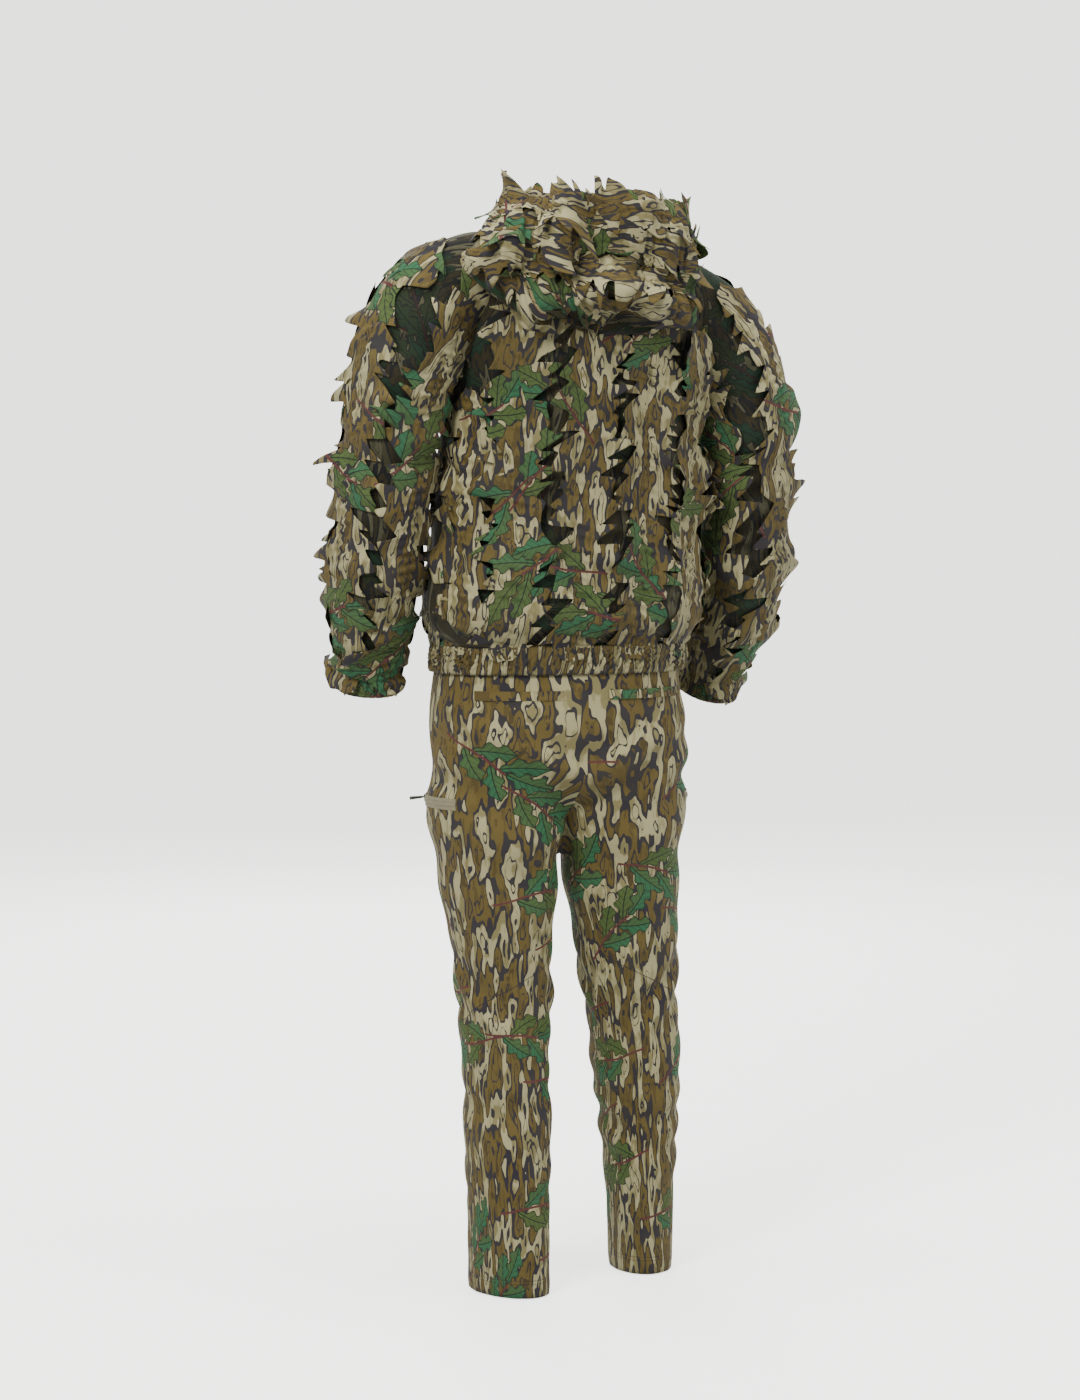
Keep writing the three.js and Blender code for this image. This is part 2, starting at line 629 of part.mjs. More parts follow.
/** A pull hanging from its eye, which is at the origin. */
function zipPull(length, width) {
  const eye = bar(EYE_RADIUS, 4.8, 0, 0).subtract(bar(BAR_RADIUS + RUN, 10, 0, 0));
  const neck = block([-1.7, -0.8, -7], [1.7, 0.8, -BAR_RADIUS - RUN - 0.4]);
  const tab = block([-width / 2, -0.9, -length], [width / 2, 0.9, -6]);
  return eye.add(neck).add(tab);
}

// ---------------------------------------------------------------- the suit
const suit = new THREE.Group();

/** Adds a named piece to a group. */
function piece(parent, name, made, material) {
  const mesh = new THREE.Mesh(geometryOf(made), material);
  mesh.name = name;
  parent.add(mesh);
  return mesh;
}

/** Adds the same kind of piece for each solid of a list, numbered from 1. */
function numbered(parent, name, solids, material) {
  solids.forEach((made, i) => piece(parent, `${name}_${i + 1}`, made, material));
}

const SIDES = Object.entries({ left: 1, right: -1 });

// Trousers
for (const [name, side] of SIDES) {
  piece(suit, `trouser_leg_${name}`, trouserLeg(side, name), twill);
}
piece(suit, "trouser_waistband", shell([WAISTBAND_LOW + GAP, WAISTBAND_TOP].map(waistLevel)), twill);

const buttonHeight = WAISTBAND_LOW + WAISTBAND / 2;
const buttonBack = -waistDepth(buttonHeight - BUTTON_RADIUS) - GAP;
const disc = new THREE.CylinderGeometry(BUTTON_RADIUS, BUTTON_RADIUS, BUTTON_DEPTH, 24);
disc.translate(0, buttonBack - BUTTON_DEPTH / 2, buttonHeight);
piece(suit, "waist_button", solid(disc), metal);

for (const [name, side] of SIDES) {
  const span = [side * PLACKET_INSIDE, side * PLACKET_OUTSIDE].sort((a, b) => a - b);
  const placket = hipTrim(TRIM, [span[0], FLY_LOW - 12], [span[1], HEM_BOTTOM - 6], true);
  piece(suit, `fly_placket_${name}`, placket, twill);
  const welt = [side * WELT_INSIDE, side * (WELT_INSIDE + WELT_LENGTH)].sort((a, b) => a - b);
  const low = [welt[0], WELT_HEIGHT - WELT / 2];
  const high = [welt[1], WELT_HEIGHT + WELT / 2];
  piece(suit, `back_pocket_${name}`, hipTrim(TRIM, low, high, false), twill);
}

const flyZip = new THREE.Group();
flyZip.position.set(0, -HIP_DEPTH - GAP - CHAIN_DEPTH, FLY_LOW);
suit.add(flyZip);
const flyChain = block([-CHAIN_HALF, 0, 0], [CHAIN_HALF, CHAIN_DEPTH, FLY_LENGTH]);
piece(flyZip, "fly_zip_chain", flyChain, teethPlastic);
const flySlider = piece(flyZip, "fly_slider", zipSlider(), metal);
flySlider.position.z = FLY_LENGTH - SLIDER_LENGTH / 2 - 4;
const flyPull = piece(flyZip, "fly_pull", zipPull(FLY_PULL, 6), metal);
flyPull.position.set(0, BAR_Y, flySlider.position.z + BAR_Z);

for (const [name, side] of SIDES) {
  piece(suit, `pocket_zip_${name}`, pocketZip(side), tapeCloth);
  const thigh = new THREE.Group();
  thigh.position.set(side * THIGH_OFFSET, 0, POCKET_HEIGHT);
  thigh.rotation.z = THREE.MathUtils.degToRad(side > 0 ? POCKET_START : 180 - POCKET_START);
  suit.add(thigh);
  const slider = piece(thigh, `pocket_slider_${name}`, pocketSlider(), metal);
  slider.position.x = THIGH_RADIUS;
  const pull = piece(thigh, `pocket_pull_${name}`, pocketPull(), cordCloth);
  pull.position.x = THIGH_RADIUS + POCKET_BAR;
  const trail = side > 0 ? -POCKET_PULL_ANGLE : 180 + POCKET_PULL_ANGLE;
  pull.rotation.z = THREE.MathUtils.degToRad(trail);
}

// Jacket body
const torsoHollow = hollow(torso, CLOTH, AROUND, stance);
const torsoWall = tube(torso, 0, AROUND, stance)
  .subtract(torsoHollow)
  .subtract(sleeveHollow("left"))
  .subtract(sleeveHollow("right"));
piece(suit, "jacket_back", keep(torsoWall, Y, SIDE_SEAM + GAP / 2, FAR), meshCloth);
const front = keep(torsoWall, Y, -FAR, SIDE_SEAM - GAP / 2);
const frontHalves = { left: leaningBlock(ZIP_HALF, FAR), right: leaningBlock(-FAR, -ZIP_HALF) };
for (const [name] of SIDES) {
  const half = frontHalves[name].translate(0, SIDE_SEAM, 0).add(frontHalves[name]);
  piece(suit, `jacket_front_${name}`, front.intersect(half), meshCloth);
}
const split = (levels) => shell(levels, CLOTH, AROUND, stance).subtract(zipSlot);
piece(suit, "hem_band", split(hemLevels), elastic);
piece(suit, "neck_band", split(neckLevels), elastic);

// Sleeves
const torsoSolid = tube(torso, GAP, AROUND, stance);
for (const [name] of SIDES) {
  const wall = tube(sleeves[name], 0, LIMB_AROUND).subtract(sleeveHollow(name));
  piece(suit, `sleeve_${name}`, wall.subtract(torsoSolid), meshCloth);
  piece(suit, `cuff_${name}`, cuff(name), elastic);
  numbered(suit, `sleeve_${name}_leaf_strip`, sleeveStrips(name), leafCloth);
}

// Leaf-cut strips on the body
numbered(suit, "back_leaf_strip", [
  torsoStrip(20, 0, 0.09, 0.54),
  torsoStrip(90, -84, 0.09, 0.65),
  torsoStrip(90, 0, 0.09, 0.65),
  torsoStrip(90, 84, 0.09, 0.65),
  torsoStrip(160, 0, 0.09, 0.54),
], leafCloth);
numbered(suit, "front_leaf_strip", [
  torsoStrip(-20, 0, 0.09, 0.54),
  torsoStrip(-90, 60, 0.09, 0.86),
  torsoStrip(-90, -60, 0.09, 0.86),
  torsoStrip(-160, 0, 0.09, 0.54),
], leafCloth);

// Front zip, in a group that leans with the jacket's front
const up = new THREE.Vector3(-LEAN, FRONT_SLOPE, 1);
const zipLength = up.length() * (NECK + NECK_BAND - HEM_BOTTOM);
up.normalize();
const across = new THREE.Vector3(1, 0, LEAN).normalize();
const inward = new THREE.Vector3().crossVectors(up, across);
const zip = new THREE.Group();
zip.quaternion.setFromRotationMatrix(new THREE.Matrix4().makeBasis(across, inward, up));
zip.position.set(0, FRONT_AT_HEM, HEM_BOTTOM).addScaledVector(inward, -CHAIN_PROUD);
suit.add(zip);
const chainLength = zipLength - BOX_TOP - GAP - 4;
for (const [name, side] of SIDES) {
  const edges = [side * TAPE_INSIDE, side * (ZIP_HALF - GAP)].sort((a, b) => a - b);
  const low = [edges[0], CHAIN_DEPTH + GAP, 2];
  const high = [edges[1], CHAIN_DEPTH + GAP + TAPE, zipLength - 2];
  piece(zip, `zip_tape_${name}`, block(low, high), tapeCloth);
  const chain = piece(zip, `zip_chain_${name}`, chainSide(chainLength, side), teethPlastic);
  chain.position.z = BOX_TOP + GAP;
}
const box = block([-CHAIN_HALF - 1, -0.6, 3], [CHAIN_HALF + 1, CHAIN_DEPTH, BOX_TOP]);
piece(zip, "zip_box", box, metal);
const slider = piece(zip, "zip_slider", zipSlider(), metal);
slider.position.z = BOX_TOP + chainLength - SLIDER_LENGTH;
const pull = piece(zip, "zip_pull", zipPull(FRONT_PULL, 8), metal);
pull.position.set(0, BAR_Y, slider.position.z + BAR_Z);

// Hood
const wall = hoodWall();
piece(suit, "hood_shell", wall.subtract(overRim(-HOOD_BRIM - GAP)), meshCloth);
piece(suit, "hood_brim", wall.intersect(overRim(-HOOD_BRIM)), elastic);
numbered(suit, "hood_leaf_strip", [
  hoodStrip(0.832, 206),
  hoodStrip(0.903, 216),
  hoodStrip(0.974, 200),
], leafCloth);

export default suit;
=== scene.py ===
"""Ghillie suit: a leafy hooded jacket over matching printed trousers.

The jacket is dark mesh covered in saw-cut cloth strips that are sewn on along their middle; the mesh is
darkened further with painted shade where it lies under the strips. Its hem, cuffs and neck are gathered
over elastic and its hood lies lowered on the back. All sizes are metres, +Z is up, the front faces -Y and
the wearer's left is +X.
"""
import logging
import math
from collections.abc import Callable, Sequence
from dataclasses import dataclass, field
from enum import Enum

import bmesh
import bpy
import numpy as np
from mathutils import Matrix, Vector


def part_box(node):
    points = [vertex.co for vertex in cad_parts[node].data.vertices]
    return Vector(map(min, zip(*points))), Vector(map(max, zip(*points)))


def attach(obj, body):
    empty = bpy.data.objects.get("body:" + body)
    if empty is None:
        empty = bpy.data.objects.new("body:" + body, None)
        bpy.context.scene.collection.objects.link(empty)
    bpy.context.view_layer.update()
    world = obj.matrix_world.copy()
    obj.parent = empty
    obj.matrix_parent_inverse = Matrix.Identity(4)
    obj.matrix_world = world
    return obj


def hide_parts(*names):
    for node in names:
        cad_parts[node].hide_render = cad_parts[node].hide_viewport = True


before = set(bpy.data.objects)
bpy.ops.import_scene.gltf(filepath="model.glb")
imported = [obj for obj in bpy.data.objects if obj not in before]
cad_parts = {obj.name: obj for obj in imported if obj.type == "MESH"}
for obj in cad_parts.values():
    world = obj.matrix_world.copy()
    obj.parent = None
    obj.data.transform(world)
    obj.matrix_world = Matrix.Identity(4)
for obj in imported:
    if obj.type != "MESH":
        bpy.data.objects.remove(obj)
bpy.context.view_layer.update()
log = logging.getLogger("ghillie_suit")

Array = np.ndarray
Material = bpy.types.Material
Object = bpy.types.Object
Shape = Callable[[Array, Array], tuple[Array, Array]]
TURN = 2 * math.pi

# ---------------------------------------------------------------- cloth thicknesses
MESH_CLOTH = 0.0012
HOOD_CLOTH = 0.0016
STRIP_CLOTH = 0.0005
ELASTIC_CLOTH = 0.0010
RIM_CLOTH = 0.0012
TWILL_CLOTH = 0.0012

# ---------------------------------------------------------------- sizes shared by the garments
CROTCH = 0.700  # height of the crotch seam
POCKET_ZIP = 0.702  # height of the thigh pockets' zips
THIGH_RADIUS = 0.098
THIGH_OFFSET = 0.094
HIP_HALF = 0.181
HIP_DEPTH = 0.118
HEM_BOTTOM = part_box("hem_band")[0][2]
HEM_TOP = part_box("hem_band")[1][2]
NECK = 1.515
NECK_BAND = 0.020
CHEST_HALF = 0.190
FRONT_AT_HEM = -0.1215  # y of the jacket's front at its bottom edge
FRONT_SLOPE = 0.06  # how far the front goes back for each metre up
LEAN = 0.054  # how far the jacket leans to the right for each metre up
SHOULDER_TILT = 0.11  # slope of the raised left shoulder
SHOULDER_SHARE = 0.88  # where up the jacket that slope is whole
HOOD_AXIS = (0.080, 1.538)  # y and z of the line that the hood turns about
HOOD_FRONT = 0.084  # nothing of the hood lies in front of this
HOOD_SHIFT = 0.026  # the lowered hood lies this far towards the wearer's left
HOOD_RIM_SLOPE = 0.15  # how the lowered hood's rim rises backwards


def jacket_height(share: float) -> float:
    """The height at a share of the way from the jacket's bottom edge to its neck seam."""
    return HEM_BOTTOM + share * (NECK - HEM_BOTTOM)


def smooth_step(value: Array) -> Array:
    """A smooth ramp from 0 to 1."""
    clipped = np.clip(value, 0, 1)
    return clipped * clipped * (3 - 2 * clipped)


def near(value: Array, middle: float, width: float) -> Array:
    """A smooth bell, 1 at the middle and fading over the width."""
    return np.exp(-(((value - middle) / width) ** 2))


def stance(points: Array) -> Array:
    """Leans and tilts points of the jacket the way its wearer stands.

    Args:
        points: positions, with x, y and z on the last axis.

    Returns:
        The moved positions.
    """
    x, y, z = points[..., 0], points[..., 1], points[..., 2]
    tilt = SHOULDER_TILT * smooth_step((z - HEM_TOP) / (jacket_height(SHOULDER_SHARE) - HEM_TOP))
    return np.stack([x - LEAN * (z - HEM_BOTTOM), y, z + tilt * x], axis=-1)


def front_at(z: float) -> float:
    """The y of the jacket's front at a height."""
    return FRONT_AT_HEM + FRONT_SLOPE * (z - HEM_BOTTOM)


def unmoved(points: Array) -> Array:
    """The points as they are."""
    return points


def ripple(seed: int, count: int, low: float, high: float) -> Callable[[Array], Array]:
    """A smooth random wave of one number.

    Args:
        seed: the random seed.
        count: how many sines it adds.
        low: its lowest frequency, in waves per metre.
        high: its highest.

    Returns:
        A function from places to heights of about -1 to 1.
    """
    source = np.random.default_rng(seed)
    speeds = source.uniform(low, high, count) * TURN
    phases = source.uniform(0, TURN, count)

    def wave(at: Array) -> Array:
        """The wave's height at some places."""
        return np.sin(at[..., None] * speeds + phases).sum(axis=-1) / math.sqrt(count)

    return wave


# ---------------------------------------------------------------- garment tubes
@dataclass(frozen=True)
class Ring:
    """A cross-section of a garment tube.

    Attributes:
        centre: its middle.
        half: half size along across.
        depth: half size along through.
        power: 2 for an ellipse, more for a squarer one.
        across: unit direction of the width.
        through: unit direction of the depth.
    """

    centre: tuple[float, float, float]
    half: float
    depth: float
    power: float = 2.0
    across: tuple[float, float, float] = (1.0, 0.0, 0.0)
    through: tuple[float, float, float] = (0.0, 1.0, 0.0)


def level(z: float, half: float, front: float, back: float, power: float = 2.4) -> Ring:
    """A level ring from its half width and the y of its front and back."""
    return Ring((0.0, (front + back) / 2, z), half, (back - front) / 2, power)


def turned(z: float, x: float, y: float, half: float, depth: float, turn: float = 0.0) -> Ring:
    """A level ring about any middle, turned by some degrees."""
    angle = math.radians(turn)
    across = (math.cos(angle), math.sin(angle), 0.0)
    through = (-math.sin(angle), math.cos(angle), 0.0)
    return Ring((x, y, z), half, depth, 2.0, across, through)


def spline(keys: Array, at: Array) -> Array:
    """Values on a smooth line through keys.

    Args:
        keys: one row of values for each key.
        at: places along the line, from 0 to the number of keys less one.

    Returns:
        One row of values for each place.
    """
    last = len(keys) - 1
    first = np.minimum(at.astype(int), last - 1)
    t = (at - first)[:, None]
    a, b, c, d = (keys[np.clip(first + shift, 0, last)] for shift in (-1, 0, 1, 2))
    slope_in = np.where(first[:, None] == 0, c - b, (c - a) / 2)
    slope_out = np.where(first[:, None] == last - 1, c - b, (d - b) / 2)
    ends = (2 * t**3 - 3 * t**2 + 1) * b + (3 * t**2 - 2 * t**3) * c
    return ends + (t**3 - 2 * t**2 + t) * slope_in + (t**3 - t**2) * slope_out


class Tube:
    """A smooth tube of cloth through rings, which can be read anywhere on its surface."""

    def __init__(
        self,
        rings: Sequence[Ring],
        place: Callable[[Array], Array] = unmoved,
        fold: Callable[[Array], Array] | None = None,
    ) -> None:
        """Works out the tube's points and normals on a fine table.

        Args:
            rings: the key sections, in order along the tube.
            place: a move for every point.
            fold: how far the cloth's folds stand out at points.
        """
        self.rows = 220
        self.sides = 288
        keys = np.array([[*r.centre, *r.across, *r.through, r.half, r.depth, r.power] for r in rings])
        table = spline(keys, np.linspace(0, len(rings) - 1, self.rows))
        centre, across, through = table[:, 0:3], table[:, 3:6], table[:, 6:9]
        self.angles = np.linspace(-math.pi, math.pi, self.sides)
        share = 2 / table[:, 11:12]
        cos, sin = np.cos(self.angles)[None], np.sin(self.angles)[None]
        u = table[:, 9:10] * np.sign(cos) * np.abs(cos) ** share
        v = table[:, 10:11] * np.sign(sin) * np.abs(sin) ** share
        spread = u[..., None] * across[:, None] + v[..., None] * through[:, None]
        self.points = place(centre[:, None] + spread)
        self.centres = place(centre)
        self.normals = self.outward_normals()
        if fold:
            self.points = self.points + self.normals * fold(self.points)[..., None]
            self.normals = self.outward_normals()
        steps = np.linalg.norm(np.diff(self.points, axis=1), axis=-1)
        self.arcs = np.concatenate([np.zeros((self.rows, 1)), np.cumsum(steps, axis=1)], axis=1)
        rises = np.linalg.norm(np.diff(self.centres, axis=0), axis=-1)
        self.lengths = np.concatenate([[0.0], np.cumsum(rises)])

    def outward_normals(self) -> Array:
        """Unit normals of the table's points, away from the middle line."""
        around = np.gradient(self.points, axis=1)
        around[:, 0] = around[:, -1] = self.points[:, 1] - self.points[:, -2]
        normals = np.cross(around, np.gradient(self.points, axis=0))
        normals /= np.linalg.norm(normals, axis=-1, keepdims=True) + 1e-12
        outward = np.sum(normals * (self.points - self.centres[:, None]), axis=-1, keepdims=True)
        return normals * np.sign(np.median(outward))

    @property
    def length(self) -> float:
        """The length of the tube's middle line."""
        return float(self.lengths[-1])

    def read(self, row: Array, angle: Array) -> tuple[Array, Array]:
        """Points and normals of the surface.

        Args:
            row: places in the table's rows, as fractions.
            angle: angles about the tube, in radians.

        Returns:
            The points and the unit normals.
        """
        row = np.clip(row, 0, self.rows - 1.001)
        turn = (angle + math.pi) % TURN / TURN * (self.sides - 1)
        turn = np.clip(turn, 0, self.sides - 1.001)
        r, c = row.astype(int), turn.astype(int)
        fr, fc = (row - r)[..., None], (turn - c)[..., None]

        def blend(table: Array) -> Array:
            """The table's value between its four nearest entries."""
            low = table[r, c] * (1 - fc) + table[r, c + 1] * fc
            high = table[r + 1, c] * (1 - fc) + table[r + 1, c + 1] * fc
            return low * (1 - fr) + high * fr

        normals = blend(self.normals)
        return blend(self.points), normals / np.linalg.norm(normals, axis=-1, keepdims=True)

    def read_round(self, across: Array, row: Array) -> tuple[Array, Array, Array]:
        """Angles, points and normals at shares of the way round the tube and at rows."""
        angle = across * TURN - math.pi
        return angle, *self.read(row, angle)

    def row_at(self, distance: Array) -> Array:
        """The table row at a distance along the middle line."""
        return np.interp(distance, self.lengths, np.arange(self.rows))

    def girth(self, row: Array) -> Array:
        """The distance round the tube at a row."""
        return np.interp(row, np.arange(self.rows), self.arcs[:, -1])

    def angle_at(self, row: Array, start: float, distance: Array) -> Array:
        """The angle reached by going some way round the tube.

        Args:
            row: table rows, one for each distance.
            start: the angle to start from.
            distance: distances round the tube.

        Returns:
            The angles.
        """
        low = np.clip(row.astype(int), 0, self.rows - 2)
        arcs = self.arcs[low] + (row - low)[:, None] * (self.arcs[low + 1] - self.arcs[low])
        place = (start + math.pi) / TURN * (self.sides - 1)
        column = min(int(place), self.sides - 2)
        begin = arcs[:, column] + (place - column) * (arcs[:, column + 1] - arcs[:, column])
        target = (begin + distance) % arcs[:, -1]
        found = np.clip(np.sum(arcs <= target[:, None], axis=1) - 1, 0, self.sides - 2)
        each = np.arange(len(found))
        share = (target - arcs[each, found]) / (arcs[each, found + 1] - arcs[each, found])
        return self.angles[found] + share * (self.angles[1] - self.angles[0])


# ---------------------------------------------------------------- the body shapes
def torso_level(share: float, width: float, back: float, power: float = 2.4) -> Ring:
    """A level ring of the jacket's body."""
    z = jacket_height(share)
    return level(z, width * CHEST_HALF, front_at(z), back, power)


TORSO_RINGS = [
    level(HEM_TOP, HIP_HALF + 0.003, front_at(HEM_TOP), -front_at(HEM_TOP)),
    torso_level(0.125, 1.055, 0.145),
    torso_level(0.25, 1.03, 0.141),
    torso_level(0.42, 1.0, 0.136),
    torso_level(0.58, 0.98, 0.137),
    torso_level(0.7, 0.985, 0.138),
    torso_level(0.8, 0.965, 0.130),
    torso_level(0.87, 0.92, 0.119),
    torso_level(0.925, 0.84, 0.104),
    torso_level(0.968, 0.68, 0.090, 2.3),
    torso_level(1.0, 0.455, 0.077, 2.1),
]
HEM_RINGS = [
    level(HEM_BOTTOM, HIP_HALF + 0.004, FRONT_AT_HEM, -FRONT_AT_HEM),
    level(HEM_TOP, HIP_HALF + 0.003, front_at(HEM_TOP), -front_at(HEM_TOP)),
]
NECK_RINGS = [
    level(NECK, 0.45 * CHEST_HALF, front_at(NECK), 0.077, 2.1),
    level(NECK + NECK_BAND, 0.45 * CHEST_HALF, front_at(NECK + NECK_BAND), 0.074, 2.1),
]


def sleeve_rings(side: float, rows: Sequence[tuple[float, float, float, float, float]]) -> list[Ring]:
    """Rings square to a sleeve's middle line.

    Args:
        side: 1 on the wearer's left and -1 on the right.
        rows: distance past the chest's side, y, share of the jacket's height, and two half sizes.

    Returns:
        The rings, from the shoulder to the wrist.
    """
    points = np.array([[side * (CHEST_HALF + r[0]), r[1], jacket_height(r[2])] for r in rows])
    tangents = np.gradient(points, axis=0)
    rings = []
    for row, point, tangent in zip(rows, points, tangents):
        along = Vector(tangent).normalized()
        through = (Vector((0, 1, 0)) - along * along.y).normalized()
        across = along.cross(through)
        rings.append(Ring(tuple(point), row[3], row[4], 2.1, tuple(across), tuple(through)))
    return rings


SLEEVE_RINGS = {
    "left": sleeve_rings(1, [
        (-0.130, 0.000, 0.905, 0.050, 0.052),
        (-0.072, 0.004, 0.884, 0.066, 0.070),
        (-0.005, 0.008, 0.817, 0.077, 0.080),
        (0.030, 0.012, 0.715, 0.075, 0.080),
        (0.052, 0.013, 0.600, 0.068, 0.075),
        (0.067, 0.008, 0.445, 0.064, 0.071),
        (0.075, 0.000, 0.294, 0.061, 0.067),
        (0.081, -0.016, 0.143, 0.057, 0.062),
        (0.081, -0.032, 0.012, 0.043, 0.046),
    ]),
    "right": sleeve_rings(-1, [
        (-0.062, 0.000, 0.880, 0.046, 0.050),
        (-0.008, 0.004, 0.835, 0.064, 0.068),
        (0.036, 0.008, 0.770, 0.075, 0.079),
        (0.066, 0.012, 0.675, 0.075, 0.080),
        (0.089, 0.013, 0.555, 0.068, 0.076),
        (0.095, 0.006, 0.405, 0.063, 0.071),
        (0.097, -0.006, 0.254, 0.061, 0.067),
        (0.092, -0.038, 0.111, 0.057, 0.062),
        (0.078, -0.072, -0.016, 0.043, 0.046),
    ]),
}


def hip_level(share: float, width: float, front: float, back: float) -> Ring:
    """A level ring of the hips, between the crotch and the jacket's hem."""
    z = CROTCH + share * (HEM_BOTTOM - CROTCH)
    return level(z, width * HIP_HALF, -front * HIP_DEPTH, back * HIP_DEPTH)


HIP_RINGS = [
    hip_level(-0.12, 0.30, 0.20, 0.22),
    hip_level(0.0, 0.62, 0.55, 0.62),
    hip_level(0.11, 0.86, 0.84, 0.86),
    hip_level(0.24, 1.0, 0.97, 1.0),
    hip_level(0.35, 1.03, 0.99, 1.05),
    hip_level(0.54, 1.04, 1.0, 1.07),
    hip_level(0.78, 1.02, 1.0, 1.04),
    hip_level(1.0, 0.995, 0.99, 0.99),
    hip_level(1.24, 0.97, 0.95, 0.95),
]
def leg_rings(side: float, rows: Sequence[tuple[float, float, float, float, float, float]]) -> list[Ring]:
    """Rings of a leg, from its hem into the hips.

    Args:
        side: 1 on the wearer's left and -1 on the right.
        rows: share of the crotch's height, x, y, two half sizes, and a turn in degrees.

    Returns:
        The rings.
    """
    low = [turned(row[0] * CROTCH, *row[1:]) for row in rows]
    shares = (0.985, 1.02)
    thigh = [turned(share * CROTCH, side * THIGH_OFFSET, 0.0, THIGH_RADIUS, THIGH_RADIUS) for share in shares]
    inside = turned(1.16 * CROTCH, side * (THIGH_OFFSET - 0.008), 0.0, THIGH_RADIUS - 0.008, THIGH_RADIUS)
    return [*low, *thigh, inside]


LEG_RINGS = {
    "left": leg_rings(1, [
        (0.0, 0.086, 0.035, 0.048, 0.070, 24),
        (0.1, 0.086, 0.034, 0.050, 0.071, 22),
        (0.27, 0.085, 0.028, 0.056, 0.070, 16),
        (0.41, 0.084, 0.018, 0.062, 0.073, 10),
        (0.59, 0.084, 0.010, 0.067, 0.075, 6),
        (0.8, 0.090, 0.005, 0.081, 0.087, 3),
        (0.91, 0.093, 0.002, 0.092, 0.096, 0),
    ]),
    "right": leg_rings(-1, [
        (0.0, -0.144, -0.035, 0.046, 0.067, -9),
        (0.1, -0.143, -0.034, 0.049, 0.068, -8),
        (0.27, -0.140, -0.032, 0.056, 0.069, -6),
        (0.41, -0.134, -0.027, 0.063, 0.072, -4),
        (0.59, -0.120, -0.018, 0.071, 0.076, -3),
        (0.8, -0.103, -0.007, 0.083, 0.088, -2),
        (0.91, -0.096, -0.002, 0.092, 0.096, 0),
    ]),
}


def hood_level(share: float, half: float, front: float, back: float) -> Ring:
    """A level ring of the lowered hood."""
    return Ring((HOOD_SHIFT, (front + back) / 2, jacket_height(share)), half, (back - front) / 2, 2.3)


HOOD_RINGS = [
    hood_level(0.752, 0.012, 0.120, 0.140),
    hood_level(0.758, 0.070, 0.100, 0.160),
    hood_level(0.778, 0.112, 0.092, 0.186),
    hood_level(0.810, 0.140, 0.082, 0.202),
    hood_level(0.855, 0.151, 0.070, 0.210),
    hood_level(0.915, 0.151, 0.058, 0.208),
    hood_level(0.980, 0.144, 0.045, 0.201),
    hood_level(1.060, 0.132, 0.036, 0.193),
    hood_level(1.160, 0.118, 0.030, 0.184),
]


# ---------------------------------------------------------------- shader maths
class Value:
    """A number in a material. Python operators on it add Math nodes."""

    def __init__(self, tree: bpy.types.NodeTree, socket: bpy.types.NodeSocket) -> None:
        """Wraps a socket of a node tree."""
        self.tree = tree
        self.socket = socket

    def math(self, operation: str, *others: "Value | float", flip: bool = False) -> "Value":
        """A Math node.

        Args:
            operation: the node's operation.
            others: its other inputs.
            flip: whether this value is the second input.

        Returns:
            The node's result.
        """
        node = self.tree.nodes.new("ShaderNodeMath")
        node.operation = operation
        inputs = [*others, self] if flip else [self, *others]
        for socket, value in zip(node.inputs, inputs):
            if isinstance(value, Value):
                self.tree.links.new(value.socket, socket)
            else:
                socket.default_value = value
        return Value(self.tree, node.outputs[0])

    def __add__(self, other: "Value | float") -> "Value":
        """The sum."""
        return self.math("ADD", other)

    __radd__ = __add__

    def __sub__(self, other: "Value | float") -> "Value":
        """The difference."""
        return self.math("SUBTRACT", other)

    def __rsub__(self, other: float) -> "Value":
        """The difference, from a number."""
        return self.math("SUBTRACT", other, flip=True)

    def __mul__(self, other: "Value | float") -> "Value":
        """The product."""
        return self.math("MULTIPLY", other)

    __rmul__ = __mul__

    def __truediv__(self, other: "Value | float") -> "Value":
        """The quotient."""
        return self.math("DIVIDE", other)

    def __abs__(self) -> "Value":
        """The size without its sign."""
        return self.math("ABSOLUTE")

    def __gt__(self, other: "Value | float") -> "Value":
        """1 where this is greater, else 0."""
        return self.math("GREATER_THAN", other)

    def __lt__(self, other: "Value | float") -> "Value":
        """1 where this is less, else 0."""
        return self.math("LESS_THAN", other)

    def least(self, other: "Value | float") -> "Value":
        """The smaller of the two."""
        return self.math("MINIMUM", other)

    def greatest(self, other: "Value | float") -> "Value":
        """The greater of the two."""
        return self.math("MAXIMUM", other)

    def output(self, name: int | str) -> "Value":
        """Another output of the same node."""
        return Value(self.tree, self.socket.node.outputs[name])

    def wave(self, length: float) -> "Value":
        """A sine of this with a wavelength."""
        return (self * (TURN / length)).math("SINE")

    def ramp(self, low: float, high: float) -> "Value":
        """0 at low and 1 at high, straight between and held outside."""
        scaled = (self - low) / (high - low)
        return scaled.greatest(0.0).least(1.0)


Color = tuple[float, float, float, float]


def paint(hexadecimal: str) -> Color:
    """A linear colour from a hexadecimal one."""
    parts = [int(hexadecimal[i:i + 2], 16) / 255 for i in (0, 2, 4)]
    linear = [p / 12.92 if p <= 0.04045 else ((p + 0.055) / 1.055) ** 2.4 for p in parts]
    return (*linear, 1.0)


